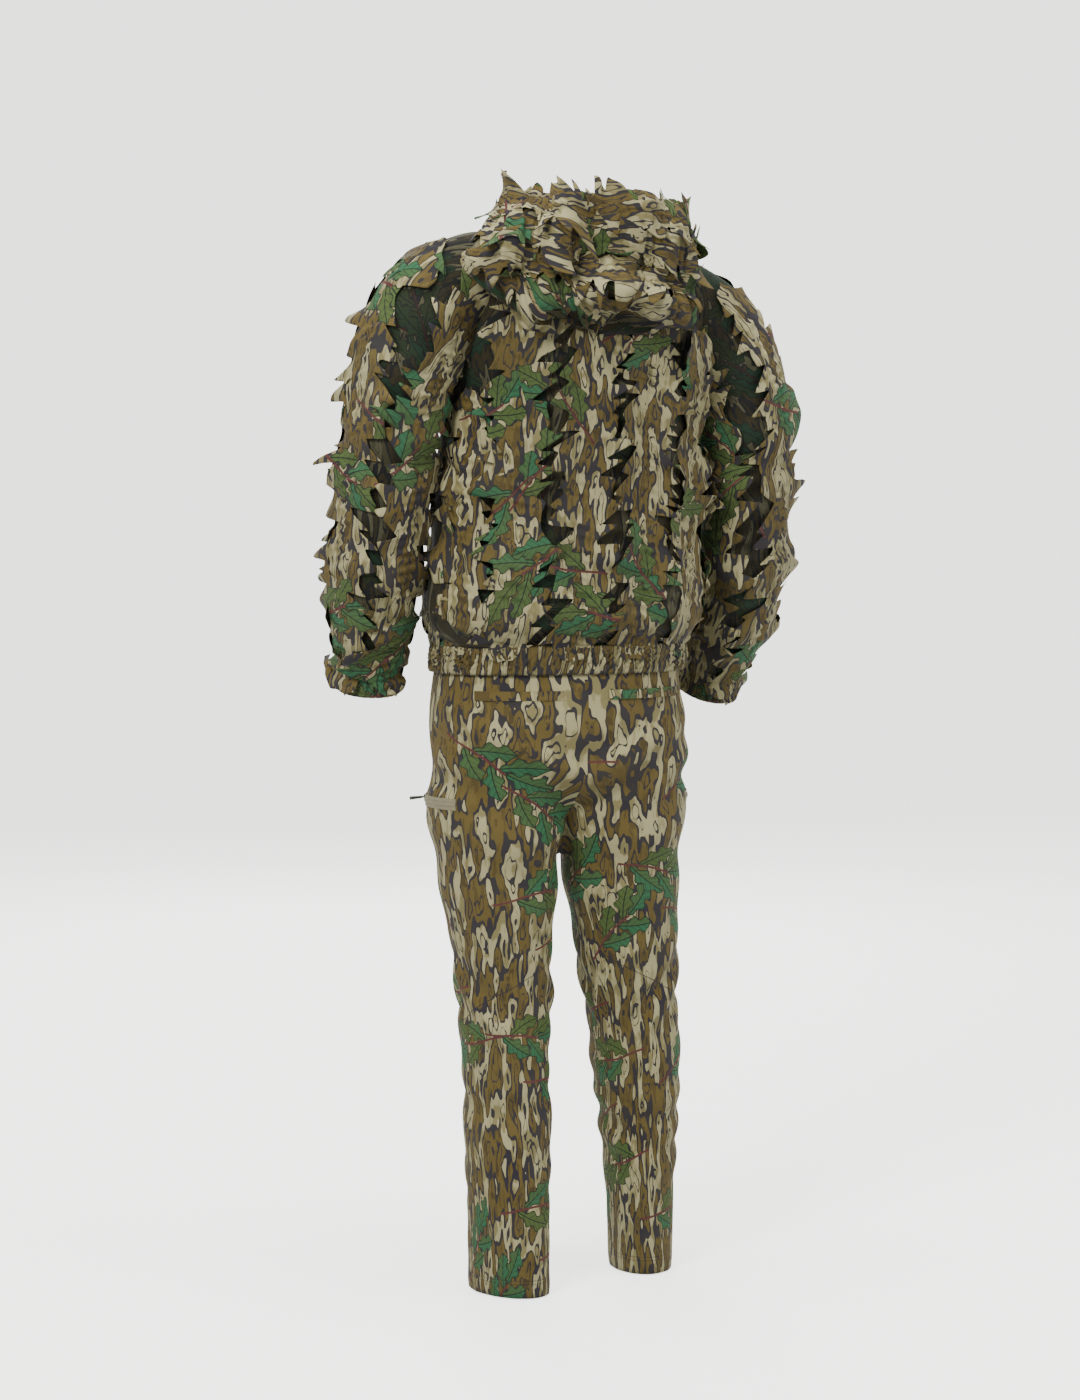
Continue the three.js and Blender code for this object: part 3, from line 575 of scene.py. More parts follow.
class Shader:
    """A material's node tree."""

    def __init__(self, name: str) -> None:
        """Makes a material with one Principled shader."""
        self.material = bpy.data.materials.new(name)
        self.material.use_nodes = True
        self.tree = self.material.node_tree
        self.surface = self.tree.nodes["Principled BSDF"]

    def add(
        self,
        kind: str,
        output: int | str = 0,
        settings: dict[str, object] | None = None,
        **inputs: object,
    ) -> Value:
        """Adds a node.

        Args:
            kind: the node's type.
            output: the output that is wanted.
            settings: attributes of the node, set first.
            inputs: numbers, colours or values for its sockets, by socket name with _ for a space.

        Returns:
            The wanted output.
        """
        node = self.tree.nodes.new(kind)
        for name, value in (settings or {}).items():
            setattr(node, name, value)
        for name, value in inputs.items():
            socket = node.inputs[int(name[1:])] if name[1:].isdigit() else node.inputs[name.replace("_", " ")]
            if isinstance(value, Value):
                self.tree.links.new(value.socket, socket)
            else:
                socket.default_value = value
        return Value(self.tree, node.outputs[output])

    def split(self, vector: Value) -> tuple[Value, Value, Value]:
        """The three numbers of a vector or a colour."""
        first = self.add("ShaderNodeSeparateXYZ", Vector=vector)
        return first, first.output(1), first.output(2)

    def vector(self, x: Value | float, y: Value | float, z: Value | float = 0.0) -> Value:
        """A vector of three numbers."""
        return self.add("ShaderNodeCombineXYZ", X=x, Y=y, Z=z)

    def noise(self, where: Value, scale: float, detail: float = 2.0, output: int = 0) -> Value:
        """Noise from 0 to 1 at a number of features per unit."""
        return self.add("ShaderNodeTexNoise", output, Vector=where, Scale=scale, Detail=detail)

    def mix(self, factor: Value | float, first: Value | Color, second: Value | Color) -> Value:
        """A colour between two colours."""
        settings = {"data_type": "RGBA"}
        return self.add("ShaderNodeMix", 2, settings, _0=factor, _6=first, _7=second)

    def link(self, socket: str, value: Value) -> None:
        """Feeds a socket of the surface."""
        self.tree.links.new(value.socket, self.surface.inputs[socket])

    def bump(self, height: Value, distance: float, strength: float = 1.0) -> None:
        """Feeds the surface's Normal from a height."""
        normal = self.add("ShaderNodeBump", Height=height, Distance=distance, Strength=strength)
        self.link("Normal", normal)


# ---------------------------------------------------------------- finishes
@dataclass(frozen=True)
class LeafPrint:
    """The printed camouflage: upright bark patches and lobed leaves on twigs.

    Attributes:
        patch_width: width of a bark patch.
        leaf_spacing: distance between sprigs.
        leaf_length: length of a leaf.
        leaf_half: half width of a leaf.
    """

    patch_width: float = 0.0165
    leaf_spacing: float = 0.225
    leaf_length: float = 0.080
    leaf_half: float = 0.0118
    cream: Color = paint("A9A178")
    stone: Color = paint("80774E")
    brown: Color = paint("5E4F24")
    umber: Color = paint("43371A")
    charcoal: Color = paint("252228")
    leaf_green: Color = paint("2C5F3E")
    moss_green: Color = paint("47592A")
    leaf_line: Color = paint("0F1E14")
    twig: Color = paint("55292A")

    def bark(self, shader: Shader, u: Value, v: Value) -> Value:
        """The colour of the bark ground at a place on the cloth."""
        where = shader.vector(u, v * 0.28)
        warp_u, warp_v, _ = shader.split(shader.noise(where, 80.0, 2.0, output=1))
        bent = shader.vector(u + (warp_u - 0.5) * 0.010, v * 0.28 + (warp_v - 0.5) * 0.008)
        patch = shader.noise(bent, 1 / self.patch_width, 1.2)
        knots = shader.noise(shader.vector(u + 3.1, v * 0.40), 62.0, 2.0)
        grain = shader.noise(shader.vector(u * 5.0, v * 0.9 + 5.0), 34.0, 3.0)
        drift = shader.noise(where, 7.0, 1.0) * 0.16 - 0.08
        level_of = patch + drift
        ground = shader.mix((grain > 0.55) * 0.65, self.brown, self.umber)
        ground = shader.mix(knots < 0.36, ground, self.umber)
        light = shader.mix((grain > 0.60) * 0.55, self.cream, self.stone)
        light = shader.mix(knots.ramp(0.50, 0.56), light, self.stone)
        colour = shader.mix(level_of > 0.508, ground, light)
        edge = abs(level_of - 0.488)
        width = knots * 0.085 - 0.012
        line = edge < width
        streak = abs(patch - 0.335) < knots * 0.040 - 0.006
        inner = abs(level_of - 0.64) < knots * 0.050 - 0.010
        dark = line.greatest(streak).greatest(inner)
        return shader.mix(dark, colour, self.charcoal)

    def leaf(
        self, shader: Shader, ground: Value, a: Value, b: Value, kind: Value, length: Value
    ) -> Value:
        """Paints one lobed leaf over a ground.

        Args:
            shader: the material's tree.
            ground: the colour under it.
            a: distance along the leaf from the twig.
            b: distance sideways from its midrib.
            kind: a random number that picks its green.
            length: the leaf's length.

        Returns:
            The colour with the leaf.
        """
        along = a / length
        inside = (along > 0.02) * (along < 1.0)
        swell = (along.ramp(0.0, 1.0).math("POWER", 1.25) * math.pi).math("SINE").math("POWER", 0.62)
        lobes = 1.0 + a.wave(0.019) * 0.30
        edge = swell * lobes * self.leaf_half
        gap = edge - abs(b)
        body = inside * (gap > 0.0)
        line = inside * (gap > 0.0) * (gap < 0.0016)
        rib = inside * (abs(b) < 0.0008)
        veins = ((a - abs(b) * 1.2).wave(0.009) > 0.82) * 0.5
        green = shader.mix(kind.ramp(0.40, 0.60), self.leaf_green, self.moss_green)
        lit = shader.mix((b > 0.0) * 0.55, green, self.moss_green)
        lit = shader.mix(veins, lit, self.leaf_line)
        marks = line.greatest(rib)
        return shader.mix(body, ground, shader.mix(marks, lit, self.leaf_line))

    def sprigs(self, shader: Shader, ground: Value, u: Value, v: Value, shift: float) -> Value:
        """Paints twigs with five leaves each over a ground."""
        where = shader.vector((u + shift) / self.leaf_spacing, (v - shift) / self.leaf_spacing)
        cell = shader.add(
            "ShaderNodeTexVoronoi", "Position", {"voronoi_dimensions": "2D"},
            Vector=where, Scale=1.0, Randomness=0.75,
        )
        turn, kind, size = shader.split(cell.output("Color"))
        x, y, _ = shader.split(cell)
        du = (u + shift) - x * self.leaf_spacing
        dv = (v - shift) - y * self.leaf_spacing
        colour = ground
        twig_angle = (turn - 0.5) * 1.8 + (kind > 0.5) * math.pi
        plan = [(0.05, 0.012), (0.78, 0.002), (-0.85, -0.010), (0.70, -0.040), (-0.66, -0.052)]
        for index, (offset, start) in enumerate(plan):
            angle = twig_angle + offset
            cos, sin = angle.math("COSINE"), angle.math("SINE")
            tx, ty = twig_angle.math("COSINE") * start, twig_angle.math("SINE") * start
            a = (du - tx) * cos + (dv - ty) * sin
            b = (dv - ty) * cos - (du - tx) * sin
            b = b + a * a * 3.0 * (1 if index % 2 else -1)
            pick = (kind * (3.0 + index)).math("FRACT")
            length = (size * 0.3 + 0.7) * (self.leaf_length * (0.86 if index else 1.0))
            colour = self.leaf(shader, colour, a, b, pick, length)
        cos, sin = twig_angle.math("COSINE"), twig_angle.math("SINE")
        a = du * cos + dv * sin
        b = (dv * cos - du * sin) + (a * 60.0).math("SINE") * 0.002
        stem = (a > -0.085) * (a < 0.014) * (abs(b) < 0.0015)
        return shader.mix(stem, colour, self.twig)

    def colour(self, shader: Shader, u: Value, v: Value) -> Value:
        """The whole print at a place on the cloth."""
        ground = self.bark(shader, u, v)
        ground = self.sprigs(shader, ground, u, v, 0.0)
        return self.sprigs(shader, ground, u, v, 0.067)


class Weave(Enum):
    """The kind of cloth that a print is on."""

    LEAF = "leaf"
    MESH = "mesh"
    TWILL = "twill"
    ELASTIC = "elastic"


@dataclass(frozen=True)
class PrintedCloth:
    """Printed cloth.

    Attributes:
        weave: the kind of cloth.
        is_turned: whether the print runs sideways.
        painted_shade: how far the print is darkened towards near black as painted shade, from 0 to 1.
        is_trim: whether it lies on a small upright piece that has no cloth map.
        is_sewn: whether the trousers' seams and hem stitching are drawn.
    """

    weave: Weave
    is_turned: bool = False
    painted_shade: float = 0.0
    is_trim: bool = False
    is_sewn: bool = False
    printed: LeafPrint = field(default_factory=LeafPrint)

    def material(self) -> Material:
        """Builds the material. It reads the piece's own cloth map, in metres."""
        side = "_turned" if self.is_turned else "_trim" if self.is_trim else ""
        shader = Shader(f"{self.weave.value}_cloth{side}")
        if self.is_trim:
            x, y, v = shader.split(shader.add("ShaderNodeTexCoord", "Object"))
            u = x + y
        else:
            u, v, _ = shader.split(shader.add("ShaderNodeUVMap", 0, {"uv_map": "cloth"}))
        if self.is_turned:
            u, v = v, u
        colour = self.printed.colour(shader, u, v)
        faded = shader.noise(shader.vector(u, v), 14.0, 3.0).ramp(0.3, 0.75)
        worn = shader.mix(faded * 0.10, colour, paint("6F6748"))
        # Painted shade: darkens the print towards near black to stand in for the shade that falls under and
        # between the strips.
        if self.painted_shade:
            worn = shader.mix(self.painted_shade, worn, paint("0B0F0D"))
        if self.is_sewn:
            worn = shader.mix(self.seams(u, v) * 0.8, worn, self.printed.charcoal)
        shader.link("Base Color", worn)
        shader.link("Roughness", shader.noise(shader.vector(u, v), 60.0, 2.0).ramp(-1.4, 1.6) * 0.2 + 0.72)
        self.thread(shader, u, v)
        shader.surface.inputs["Specular IOR Level"].default_value = 0.18
        return shader.material

    def seams(self, u: Value, v: Value) -> Value:
        """1 on the trousers' side seams, knee darts and hem stitching, else 0."""
        seam_half, thread_half, stitch = 0.0008, 0.0006, 0.0036
        beside = abs(abs(u - 2.0) - 1.0)
        dart = (abs(v - beside * 0.45 - 0.385) < seam_half) * (beside < 0.200)
        outer = (beside < seam_half).greatest(dart)
        rows = (abs(v - 0.021) < thread_half) + (abs(v - 0.026) < thread_half)
        return outer.greatest((u.wave(stitch) > -0.3) * rows)

    def thread(self, shader: Shader, u: Value, v: Value) -> None:
        """Gives the cloth its threads."""
        if self.weave is Weave.MESH:
            holes = u.wave(0.0022) * v.wave(0.0022)
            shader.bump(holes, 0.0004, 0.9)
            return
        if self.weave is Weave.TWILL:
            ribs = (u + v).wave(0.0013) * 0.6 + (u - v * 3.0).wave(0.0009) * 0.4
            crumple = shader.noise(shader.vector(u, v), 55.0, 4.0)
            shader.bump(ribs * 0.12 + crumple * 2.4, 0.0011, 0.75)
            return
        threads = u.wave(0.0011) * 0.5 + v.wave(0.0011) * 0.5
        crumple = shader.noise(shader.vector(u, v), 70.0, 4.0)
        shader.bump(threads * 0.10 + crumple * 2.0, 0.0010, 0.7)


@dataclass(frozen=True)
class PlainFinish:
    """A finish for zips, buttons and cords, with its own grain and wear.

    Attributes:
        name: the material's name.
        base: its main colour.
        worn: its colour where it is rubbed.
        roughness: how dull it is.
        metallic: 1 for bare or painted metal.
        grain: features per metre of its surface grain.
        ribs: wavelength of moulded or woven ribs, or 0.
        depth: height of the grain.
    """

    name: str
    base: Color
    worn: Color
    roughness: float
    metallic: float = 0.0
    grain: float = 900.0
    ribs: float = 0.0
    depth: float = 0.0002

    def material(self) -> Material:
        """Builds the material on Object coordinates."""
        shader = Shader(self.name)
        place = shader.add("ShaderNodeTexCoord", "Object")
        x, y, z = shader.split(place)
        fine = shader.noise(place, self.grain, 3.0)
        rubbed = shader.noise(place, self.grain * 0.25, 2.0).ramp(0.52, 0.72)
        shader.link("Base Color", shader.mix(rubbed * 0.6, self.base, self.worn))
        shader.link("Roughness", fine * 0.2 + (self.roughness - 0.1))
        shader.surface.inputs["Metallic"].default_value = self.metallic
        height = fine
        if self.ribs:
            height = fine * 0.4 + (x + y).wave(self.ribs) * z.wave(self.ribs)
        shader.bump(height, self.depth, 0.8)
        return shader.material


# ---------------------------------------------------------------- mesh making
def add_object(name: str, bm: bmesh.types.BMesh, material: Material) -> Object:
    """Turns a bmesh into a scene object with smooth shading.

    Args:
        name: the object's name.
        bm: its mesh, which is freed.
        material: its material.

    Returns:
        The object.
    """
    mesh = bpy.data.meshes.new(name)
    bm.to_mesh(mesh)
    bm.free()
    mesh.polygons.foreach_set("use_smooth", [True] * len(mesh.polygons))
    mesh.materials.append(material)
    thing = bpy.data.objects.new(name, mesh)
    bpy.context.scene.collection.objects.link(thing)
    return thing


def cloth_grid(
    name: str, columns: int, rows: int, shape: Shape, material: Material,
    thickness: float = 0.0, is_ring: bool = False,
) -> Object:
    """A piece of cloth from a grid.

    Args:
        name: the piece's name.
        columns: faces across.
        rows: faces along.
        shape: gives points and flat places in metres from two arrays of shares, 0 to 1.
        material: its material.
        thickness: thickness of the cloth, or 0 for none.
        is_ring: whether its two side edges are sewn together.

    Returns:
        The object.
    """
    bm = bmesh.new()
    bmesh.ops.create_grid(bm, x_segments=columns, y_segments=rows, size=0.5)
    shares = np.array([vert.co[:2] for vert in bm.verts]) + 0.5
    points, flat = shape(shares[:, 0], shares[:, 1])
    layer = bm.loops.layers.uv.new("cloth")
    for vert, point in zip(bm.verts, points.tolist()):
        vert.co = point
    places = flat.tolist()
    for face in bm.faces:
        for loop in face.loops:
            loop[layer].uv = places[loop.vert.index]
    if is_ring:
        bmesh.ops.remove_doubles(bm, verts=bm.verts, dist=1e-5)
    piece = add_object(name, bm, material)
    if thickness:
        wall = piece.modifiers.new("thickness", "SOLIDIFY")
        wall.thickness = thickness
        wall.offset = 0.0
        wall.use_even_offset = False
    return piece


def saw(at: Array, lean: float) -> Array:
    """A triangle wave from 0 to 1 with its tips leaning: lean is where in each unit the tip lies."""
    part = at % 1.0
    return np.where(part < lean, part / lean, (1 - part) / (1 - lean))


# ---------------------------------------------------------------- leaf-cut strips
class Run(Enum):
    """Which way a strip runs on its tube."""

    ALONG = "along"
    ROUND = "round"


@dataclass
class LeafStrip:
    """A cloth strip with saw-toothed leaf edges, sewn down along its gathered middle.

    Attributes:
        name: the piece's name.
        tube: the cloth that it is sewn to.
        run: which way it runs.
        angle: where it is sewn, as an angle about the tube, for a strip that runs along.
        start: distance along the tube where it starts, or the height of a strip that runs round.
        length: its length.
        seed: seed of its cut and its waves.
        offset: distance round the tube from the angle.
        half: half width at the tips.
        lift: how far its edges stand off.
        base: how far its middle stands off.
        tilt: how much more one edge lifts than the other.
        fullness: how much longer it was cut than the seam that gathers it.
        step: length of its faces.
        columns: faces across it.
    """

    name: str
    tube: Tube
    run: Run
    angle: float
    start: float
    length: float
    seed: int
    offset: float = 0.0
    half: float = 0.059
    lift: float = 0.016
    base: float = 0.003
    tilt: float = 0.25
    fullness: float = 1.0
    step: float = 0.0026
    columns: int = 24

    def cut(self, along: Array, side: int) -> tuple[Array, Array]:
        """The leaf cut on one side.

        Args:
            along: distances along the strip.
            side: 0 or 1.

        Returns:
            Half widths, and how far each point leans along the strip.
        """
        source = np.random.default_rng(self.seed * 7 + side)
        big, small = source.uniform(0.075, 0.100), source.uniform(0.026, 0.034)
        shift = source.uniform(0, 1, 2)
        lean = source.choice([0.3, 0.7])
        swell = ripple(self.seed * 13 + side, 3, 3.0, 9.0)(along)
        leaf = saw(along / big + shift[0] + swell * 0.15, lean)
        ends = smooth_step(np.minimum(along, self.length - along) / 0.030)
        tooth = saw(along / small + shift[1] + swell * 0.45, lean)
        size = 0.75 + 0.35 * ripple(self.seed * 17 + side, 3, 8.0, 20.0)(along)
        notch = 0.029 * np.clip(size, 0.45, 1.25) * (1 - tooth) ** 1.15
        width = np.maximum(self.half * (1 + 0.07 * swell) - 0.019 * (1 - leaf) ** 1.2 - notch, 0.013)
        return width * (0.35 + 0.65 * ends), (lean - 0.5) * 1.7 * (0.025 - notch)

    def shape(self, across: Array, along: Array) -> tuple[Array, Array]:
        """Points and flat places of the strip at shares across and along it."""
        t = along * self.length
        s = across * 2 - 1
        cuts = [self.cut(t, side) for side in (0, 1)]
        width = np.where(s < 0, cuts[0][0], cuts[1][0])
        x = s * width
        reach = np.abs(x) / self.half
        t = t + np.where(s < 0, cuts[0][1], cuts[1][1]) * np.clip(np.abs(s) - 0.5, 0, 1) * 2
        sway = ripple(self.seed * 5, 3, 2.0, 6.0)(t) * 0.004
        curl = [ripple(self.seed * 3 + side, 4, 4.0, 13.0)(t) for side in (0, 1)]
        flick = [ripple(self.seed * 19 + side, 4, 14.0, 30.0)(t) for side in (0, 1)]
        wave = np.where(s < 0, curl[0], curl[1])
        tip = np.where(s < 0, flick[0], flick[1])
        shoulder = 0.1 + 0.9 * smooth_step((t - 0.04) / 0.16) if self.run is Run.ALONG else 1.0
        rise = self.lift * shoulder * np.clip(0.70 + 0.60 * wave, 0.10, 1.20) * reach**2.1
        rise = rise * np.where(s < 0, 1 + self.tilt, 1 - self.tilt) + self.lift * 0.25 * tip * reach**4
        gather = ripple(self.seed * 11, 5, 40.0, 95.0)(t + x * 0.25)
        pucker = 0.0022 * gather * np.exp(-((x / 0.014) ** 2))
        stitch = -0.0020 * np.exp(-((x / 0.0018) ** 2))
        drape = 0.0022 * ripple(self.seed * 23, 4, 12.0, 34.0)(t + 0.4 * x) * reach
        height = np.maximum(self.base + rise + pucker + stitch + drape, 0.0012)
        if self.run is Run.ALONG:
            row = self.tube.row_at(self.start + t)
            places = self.tube.angle_at(row, self.angle, x + sway + self.offset)
        else:
            row = self.tube.row_at(self.start + x + sway)
            middle = np.full_like(t, self.tube.row_at(np.array([self.start]))[0])
            places = self.tube.angle_at(middle, self.angle, t - self.length / 2)
        points, normals = self.tube.read(row, places)
        flat = np.stack([x + self.seed * 0.37, t + self.seed * 0.23], axis=-1)
        return points + normals * height[:, None], flat

    def build(self, material: Material, sewn_to: Sequence[str]) -> Object:
        """Args:
            material: its cloth.
            sewn_to: the names of the pieces that it is sewn to and lies on; not used.

        Returns:
            The strip.
        """
        rows = max(8, round(self.length / self.step))
        strip = cloth_grid(self.name, self.columns, rows, self.shape, material, STRIP_CLOTH)
        along = (np.arange(rows) + 0.5) / rows * self.length
        widths = self.cut(along, 0)[0] + self.cut(along, 1)[0]
        length = self.length * self.fullness
        area = float(np.mean(widths)) * length
        return strip


# ---------------------------------------------------------------- the jacket
def body_folds(points: Array) -> Array:
    """How far the jacket's soft folds stand out."""
    x, y, z = points[..., 0], points[..., 1], points[..., 2]
    blouse = near(z, 0.985, 0.05) * ripple(101, 5, 4.0, 11.0)(x + 0.3 * y)
    drag = ripple(102, 5, 2.5, 7.0)(z + 0.5 * np.abs(x)) * smooth_step((z - 0.95) / 0.1)
    calm = smooth_step((1.44 - z) / 0.08) * smooth_step((z - HEM_TOP) / 0.03)
    behind = 0.35 + 0.65 * smooth_step((y + 0.02) / 0.08)
    return (0.0045 * blouse + 0.0035 * drag) * calm * behind - 0.001


def sleeve_folds(points: Array) -> Array:
    """How far the sleeves' creases stand out."""
    x, y, z = points[..., 0], points[..., 1], points[..., 2]
    elbow = near(z, 1.13, 0.11) * ripple(103, 4, 8.0, 16.0)(z + 0.5 * y)
    wrist = near(z, 0.955, 0.045) * ripple(104, 4, 14.0, 26.0)(z + 0.25 * np.abs(x))
    return 0.0035 * elbow + 0.0035 * wrist - 0.0005


def hood_folds(points: Array) -> Array:
    """How far the lowered hood's folds stand out: upright pleats crossed by slumped rolls."""
    x, y, z = points[..., 0], points[..., 1], points[..., 2]
    pleats = ripple(105, 5, 7.0, 17.0)(x + 0.35 * (z - 1.45))
    rolls = ripple(106, 4, 7.0, 13.0)(z + 0.35 * np.abs(x - HOOD_SHIFT + LEAN * 0.56))
    behind = smooth_step((y - 0.12) / 0.05)
    return (0.0085 * pleats + 0.0110 * rolls - 0.014) * behind


@dataclass
class JacketBody:
    """The jacket's mesh body, hem, neck and the strips sewn to it."""

    mesh: Material
    leaf: Material
    elastic: Material
    fold: float = 0.004
    opening: float = 0.007  # half width of the front opening
    tube: Tube = field(default_factory=lambda: Tube(TORSO_RINGS, stance, body_folds))

    def body(self) -> Object:
        """The mesh body, open at the front between the zip tapes."""
        waves = ripple(3, 6, 2.0, 9.0)
        tube = self.tube

        def shape(across: Array, along: Array) -> tuple[Array, Array]:
            """Points of the body, going round from one front edge to the other."""
            row = along * (tube.rows - 1)
            girth = tube.girth(row)
            distance = self.opening + across * (girth - 2 * self.opening)
            angle = tube.angle_at(row, -math.pi / 2, distance)
            points, normals = tube.read(row, angle)
            edge = np.clip(np.minimum(distance, girth - distance) / 0.05, 0, 1)
            out = self.fold * edge * waves(distance + 0.3 * along) - 0.003
            return points + normals * out[:, None], np.stack([distance, along * 0.65], axis=-1)

        body = cloth_grid("jacket_mesh", 200, 130, shape, self.mesh, MESH_CLOTH)
        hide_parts("jacket_back", "jacket_front_left", "jacket_front_right")
        return body

    def gathered_band(self, name: str, rings: Sequence[Ring], pleats: int, depth: float, seed: int) -> Object:
        """An elastic band with pleats, open at the front for the zip.

        Args:
            name: the piece's name.
            rings: its bottom and top rings.
            pleats: pleats round it.
            depth: depth of a pleat.
            seed: seed of its unevenness.

        Returns:
            The band.
        """
        tube = Tube(rings, stance)
        uneven = ripple(seed, 6, 6.0, 30.0)
        height = tube.length

        def shape(across: Array, along: Array) -> tuple[Array, Array]:
            """Points of the band."""
            row = along * (tube.rows - 1)
            girth = tube.girth(row)
            distance = self.opening + across * (girth - 2 * self.opening)
            angle = tube.angle_at(row, -math.pi / 2, distance)
            points, normals = tube.read(row, angle)
            pleat = np.sin(across * pleats * TURN + 2.2 * uneven(distance + 0.4 * along))
            plump = np.sin(along * math.pi) ** 0.6
            stitches = -0.0009 * (np.abs(np.sin(along * math.pi * 3)) < 0.25)
            out = depth * plump * (0.5 + 0.5 * pleat) * (0.8 + 0.35 * uneven(distance * 0.6))
            out = out + stitches + 0.0006
            flat = np.stack([distance * 1.5 + seed, along * height], axis=-1)
            return points + normals * out[:, None], flat

        return cloth_grid(name, 760, 14, shape, self.elastic, ELASTIC_CLOTH)

    def strips(self) -> list[Object]:
        """The upright strips round the body."""
        plan = [  # distance round from the middle of the back towards the right, top share, node
            (-0.330, 0.88, "front_leaf_strip_2"), (-0.262, 0.60, "front_leaf_strip_1"),
            (-0.195, 0.62, "back_leaf_strip_1"), (-0.118, 0.84, "back_leaf_strip_2"),
            (-0.022, 0.86, "back_leaf_strip_3"), (0.070, 0.86, "back_leaf_strip_4"),
            (0.158, 0.80, "back_leaf_strip_5"), (0.245, 0.60, None),
            (0.318, 0.60, "front_leaf_strip_4"), (0.392, 0.88, "front_leaf_strip_3"),
        ]
        grown = 0.007
        below = level(HEM_TOP - 0.022, HIP_HALF + grown, front_at(HEM_TOP) - grown, grown - front_at(HEM_TOP))
        drape = Tube([below, *TORSO_RINGS], stance, body_folds)
        made = []
        for index, (distance, top, node) in enumerate(plan):
            length = (jacket_height(top) - HEM_TOP) * 0.99 + 0.018
            strip = LeafStrip(
                f"body_leaf_strip_{index + 1}", drape, Run.ALONG, math.pi / 2, 0.002, length,
                seed=index + 1, offset=distance, lift=0.013 if abs(distance) > 0.25 else 0.027,
            ).build(self.leaf, ["jacket_mesh", "gathered_hem"])
            if node:
                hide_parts(node)
            made.append(strip)
        return made

    def build(self) -> list[Object]:
        """Makes every piece of the jacket's body."""
        hem = self.gathered_band("gathered_hem", HEM_RINGS, 84, 0.0058, 21)
        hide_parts("hem_band")
        neck = self.gathered_band("gathered_neck", NECK_RINGS, 40, 0.0022, 22)
        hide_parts("neck_band")
        return [self.body(), hem, neck, *self.strips()]


@dataclass
class Sleeve:
    """One sleeve with its cuff and its strips."""

    side: str
    mesh: Material
    leaf: Material
    elastic: Material
    inner_strip: int = 2  # the strip that lies against the body
    inner_lift: float = 0.004
    tube: Tube = field(init=False)

    def __post_init__(self) -> None:
        """Shapes the sleeve's tube."""
        self.tube = Tube(SLEEVE_RINGS[self.side], unmoved, sleeve_folds)

    def past_wrist(self, places: Sequence[tuple[float, float]]) -> list[Ring]:
        """Rings past the sleeve's end, from pairs of a distance and a shrinkage."""
        end, before = SLEEVE_RINGS[self.side][-1], SLEEVE_RINGS[self.side][-2]
        along_arm = (Vector(end.centre) - Vector(before.centre)).normalized()
        rings = []
        for distance, shrink in places:
            centre = tuple(Vector(end.centre) + along_arm * distance)
            sizes = (end.half - shrink, end.depth - shrink, end.power)
            rings.append(Ring(centre, *sizes, end.across, end.through))
        return rings

    def arm(self) -> Object:
        """The mesh sleeve."""
        tube = self.tube
        waves = ripple(31 if self.side == "left" else 32, 6, 4.0, 14.0)

        def shape(across: Array, along: Array) -> tuple[Array, Array]:
            """Points of the sleeve."""
            row = along * (tube.rows - 1)
            girth = tube.girth(row)
            angle, points, normals = tube.read_round(across, row)
            crease = waves(along * 0.65 + 0.04 * np.sin(angle)) * np.sin(along * math.pi)
            flat = np.stack([across * girth, along * tube.length], axis=-1)
            return points + normals * (0.003 * crease - 0.003)[:, None], flat

        arm = cloth_grid(f"mesh_sleeve_{self.side}", 96, 130, shape, self.mesh, MESH_CLOTH, is_ring=True)
        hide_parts(f"sleeve_{self.side}")
        return arm

    def cuff(self) -> Object:
        """The gathered cuff past the sleeve's end."""
        tube = Tube(self.past_wrist(((-0.010, -0.001), (0.008, 0.002), (0.024, 0.003), (0.034, 0.001))))
        uneven = ripple(41, 5, 6.0, 40.0)

        def shape(across: Array, along: Array) -> tuple[Array, Array]:
            """Points of the cuff."""
            angle, points, normals = tube.read_round(across, along * (tube.rows - 1))
            pleat = np.sin(angle * 24 + 1.6 * uneven(np.sin(angle) * 0.1))
            plump = np.sin(along * math.pi) ** 0.5
            out = 0.0032 * plump * (0.5 + 0.5 * pleat)
            flat = np.stack([across * 0.42, along * 0.044 + 0.5], axis=-1)
            return points + normals * out[:, None], flat

        name = f"gathered_cuff_{self.side}"
        cuff = cloth_grid(name, 320, 16, shape, self.elastic, ELASTIC_CLOTH, is_ring=True)
        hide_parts(f"cuff_{self.side}")
        return cuff

    def strips(self) -> list[Object]:
        """The four strips along the sleeve, from the shoulder to the cuff."""
        is_left = self.side == "left"
        first, step = (20, 90) if is_left else (122, -90)
        half, lift, tilt, seed = (0.061, 0.022, 0.35, 50) if is_left else (0.057, 0.019, -0.35, 70)
        starts = (0.13, 0.10, 0.46, 0.12)  # shares of the arm's length
        rings = SLEEVE_RINGS[self.side]
        drape = Tube([*rings, *self.past_wrist(((0.016, -0.003), (0.036, -0.007)))], unmoved, sleeve_folds)
        made = []
        for index, start in enumerate(starts):
            low = start * self.tube.length
            angle = math.radians(first + step * index)
            strip = LeafStrip(
                f"{self.side}_sleeve_leaf_strip_{index + 1}", drape, Run.ALONG, angle, low,
                drape.length * 0.99 - low, seed=seed + index, half=half,
                lift=self.inner_lift if index == self.inner_strip else lift, tilt=tilt,
            ).build(self.leaf, [f"mesh_sleeve_{self.side}", f"gathered_cuff_{self.side}"])
            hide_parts(f"sleeve_{self.side}_leaf_strip_{index + 1}")
            made.append(strip)
        return made

    def build(self) -> list[Object]:
        """Makes every piece of the sleeve."""
        return [self.arm(), self.cuff(), *self.strips()]


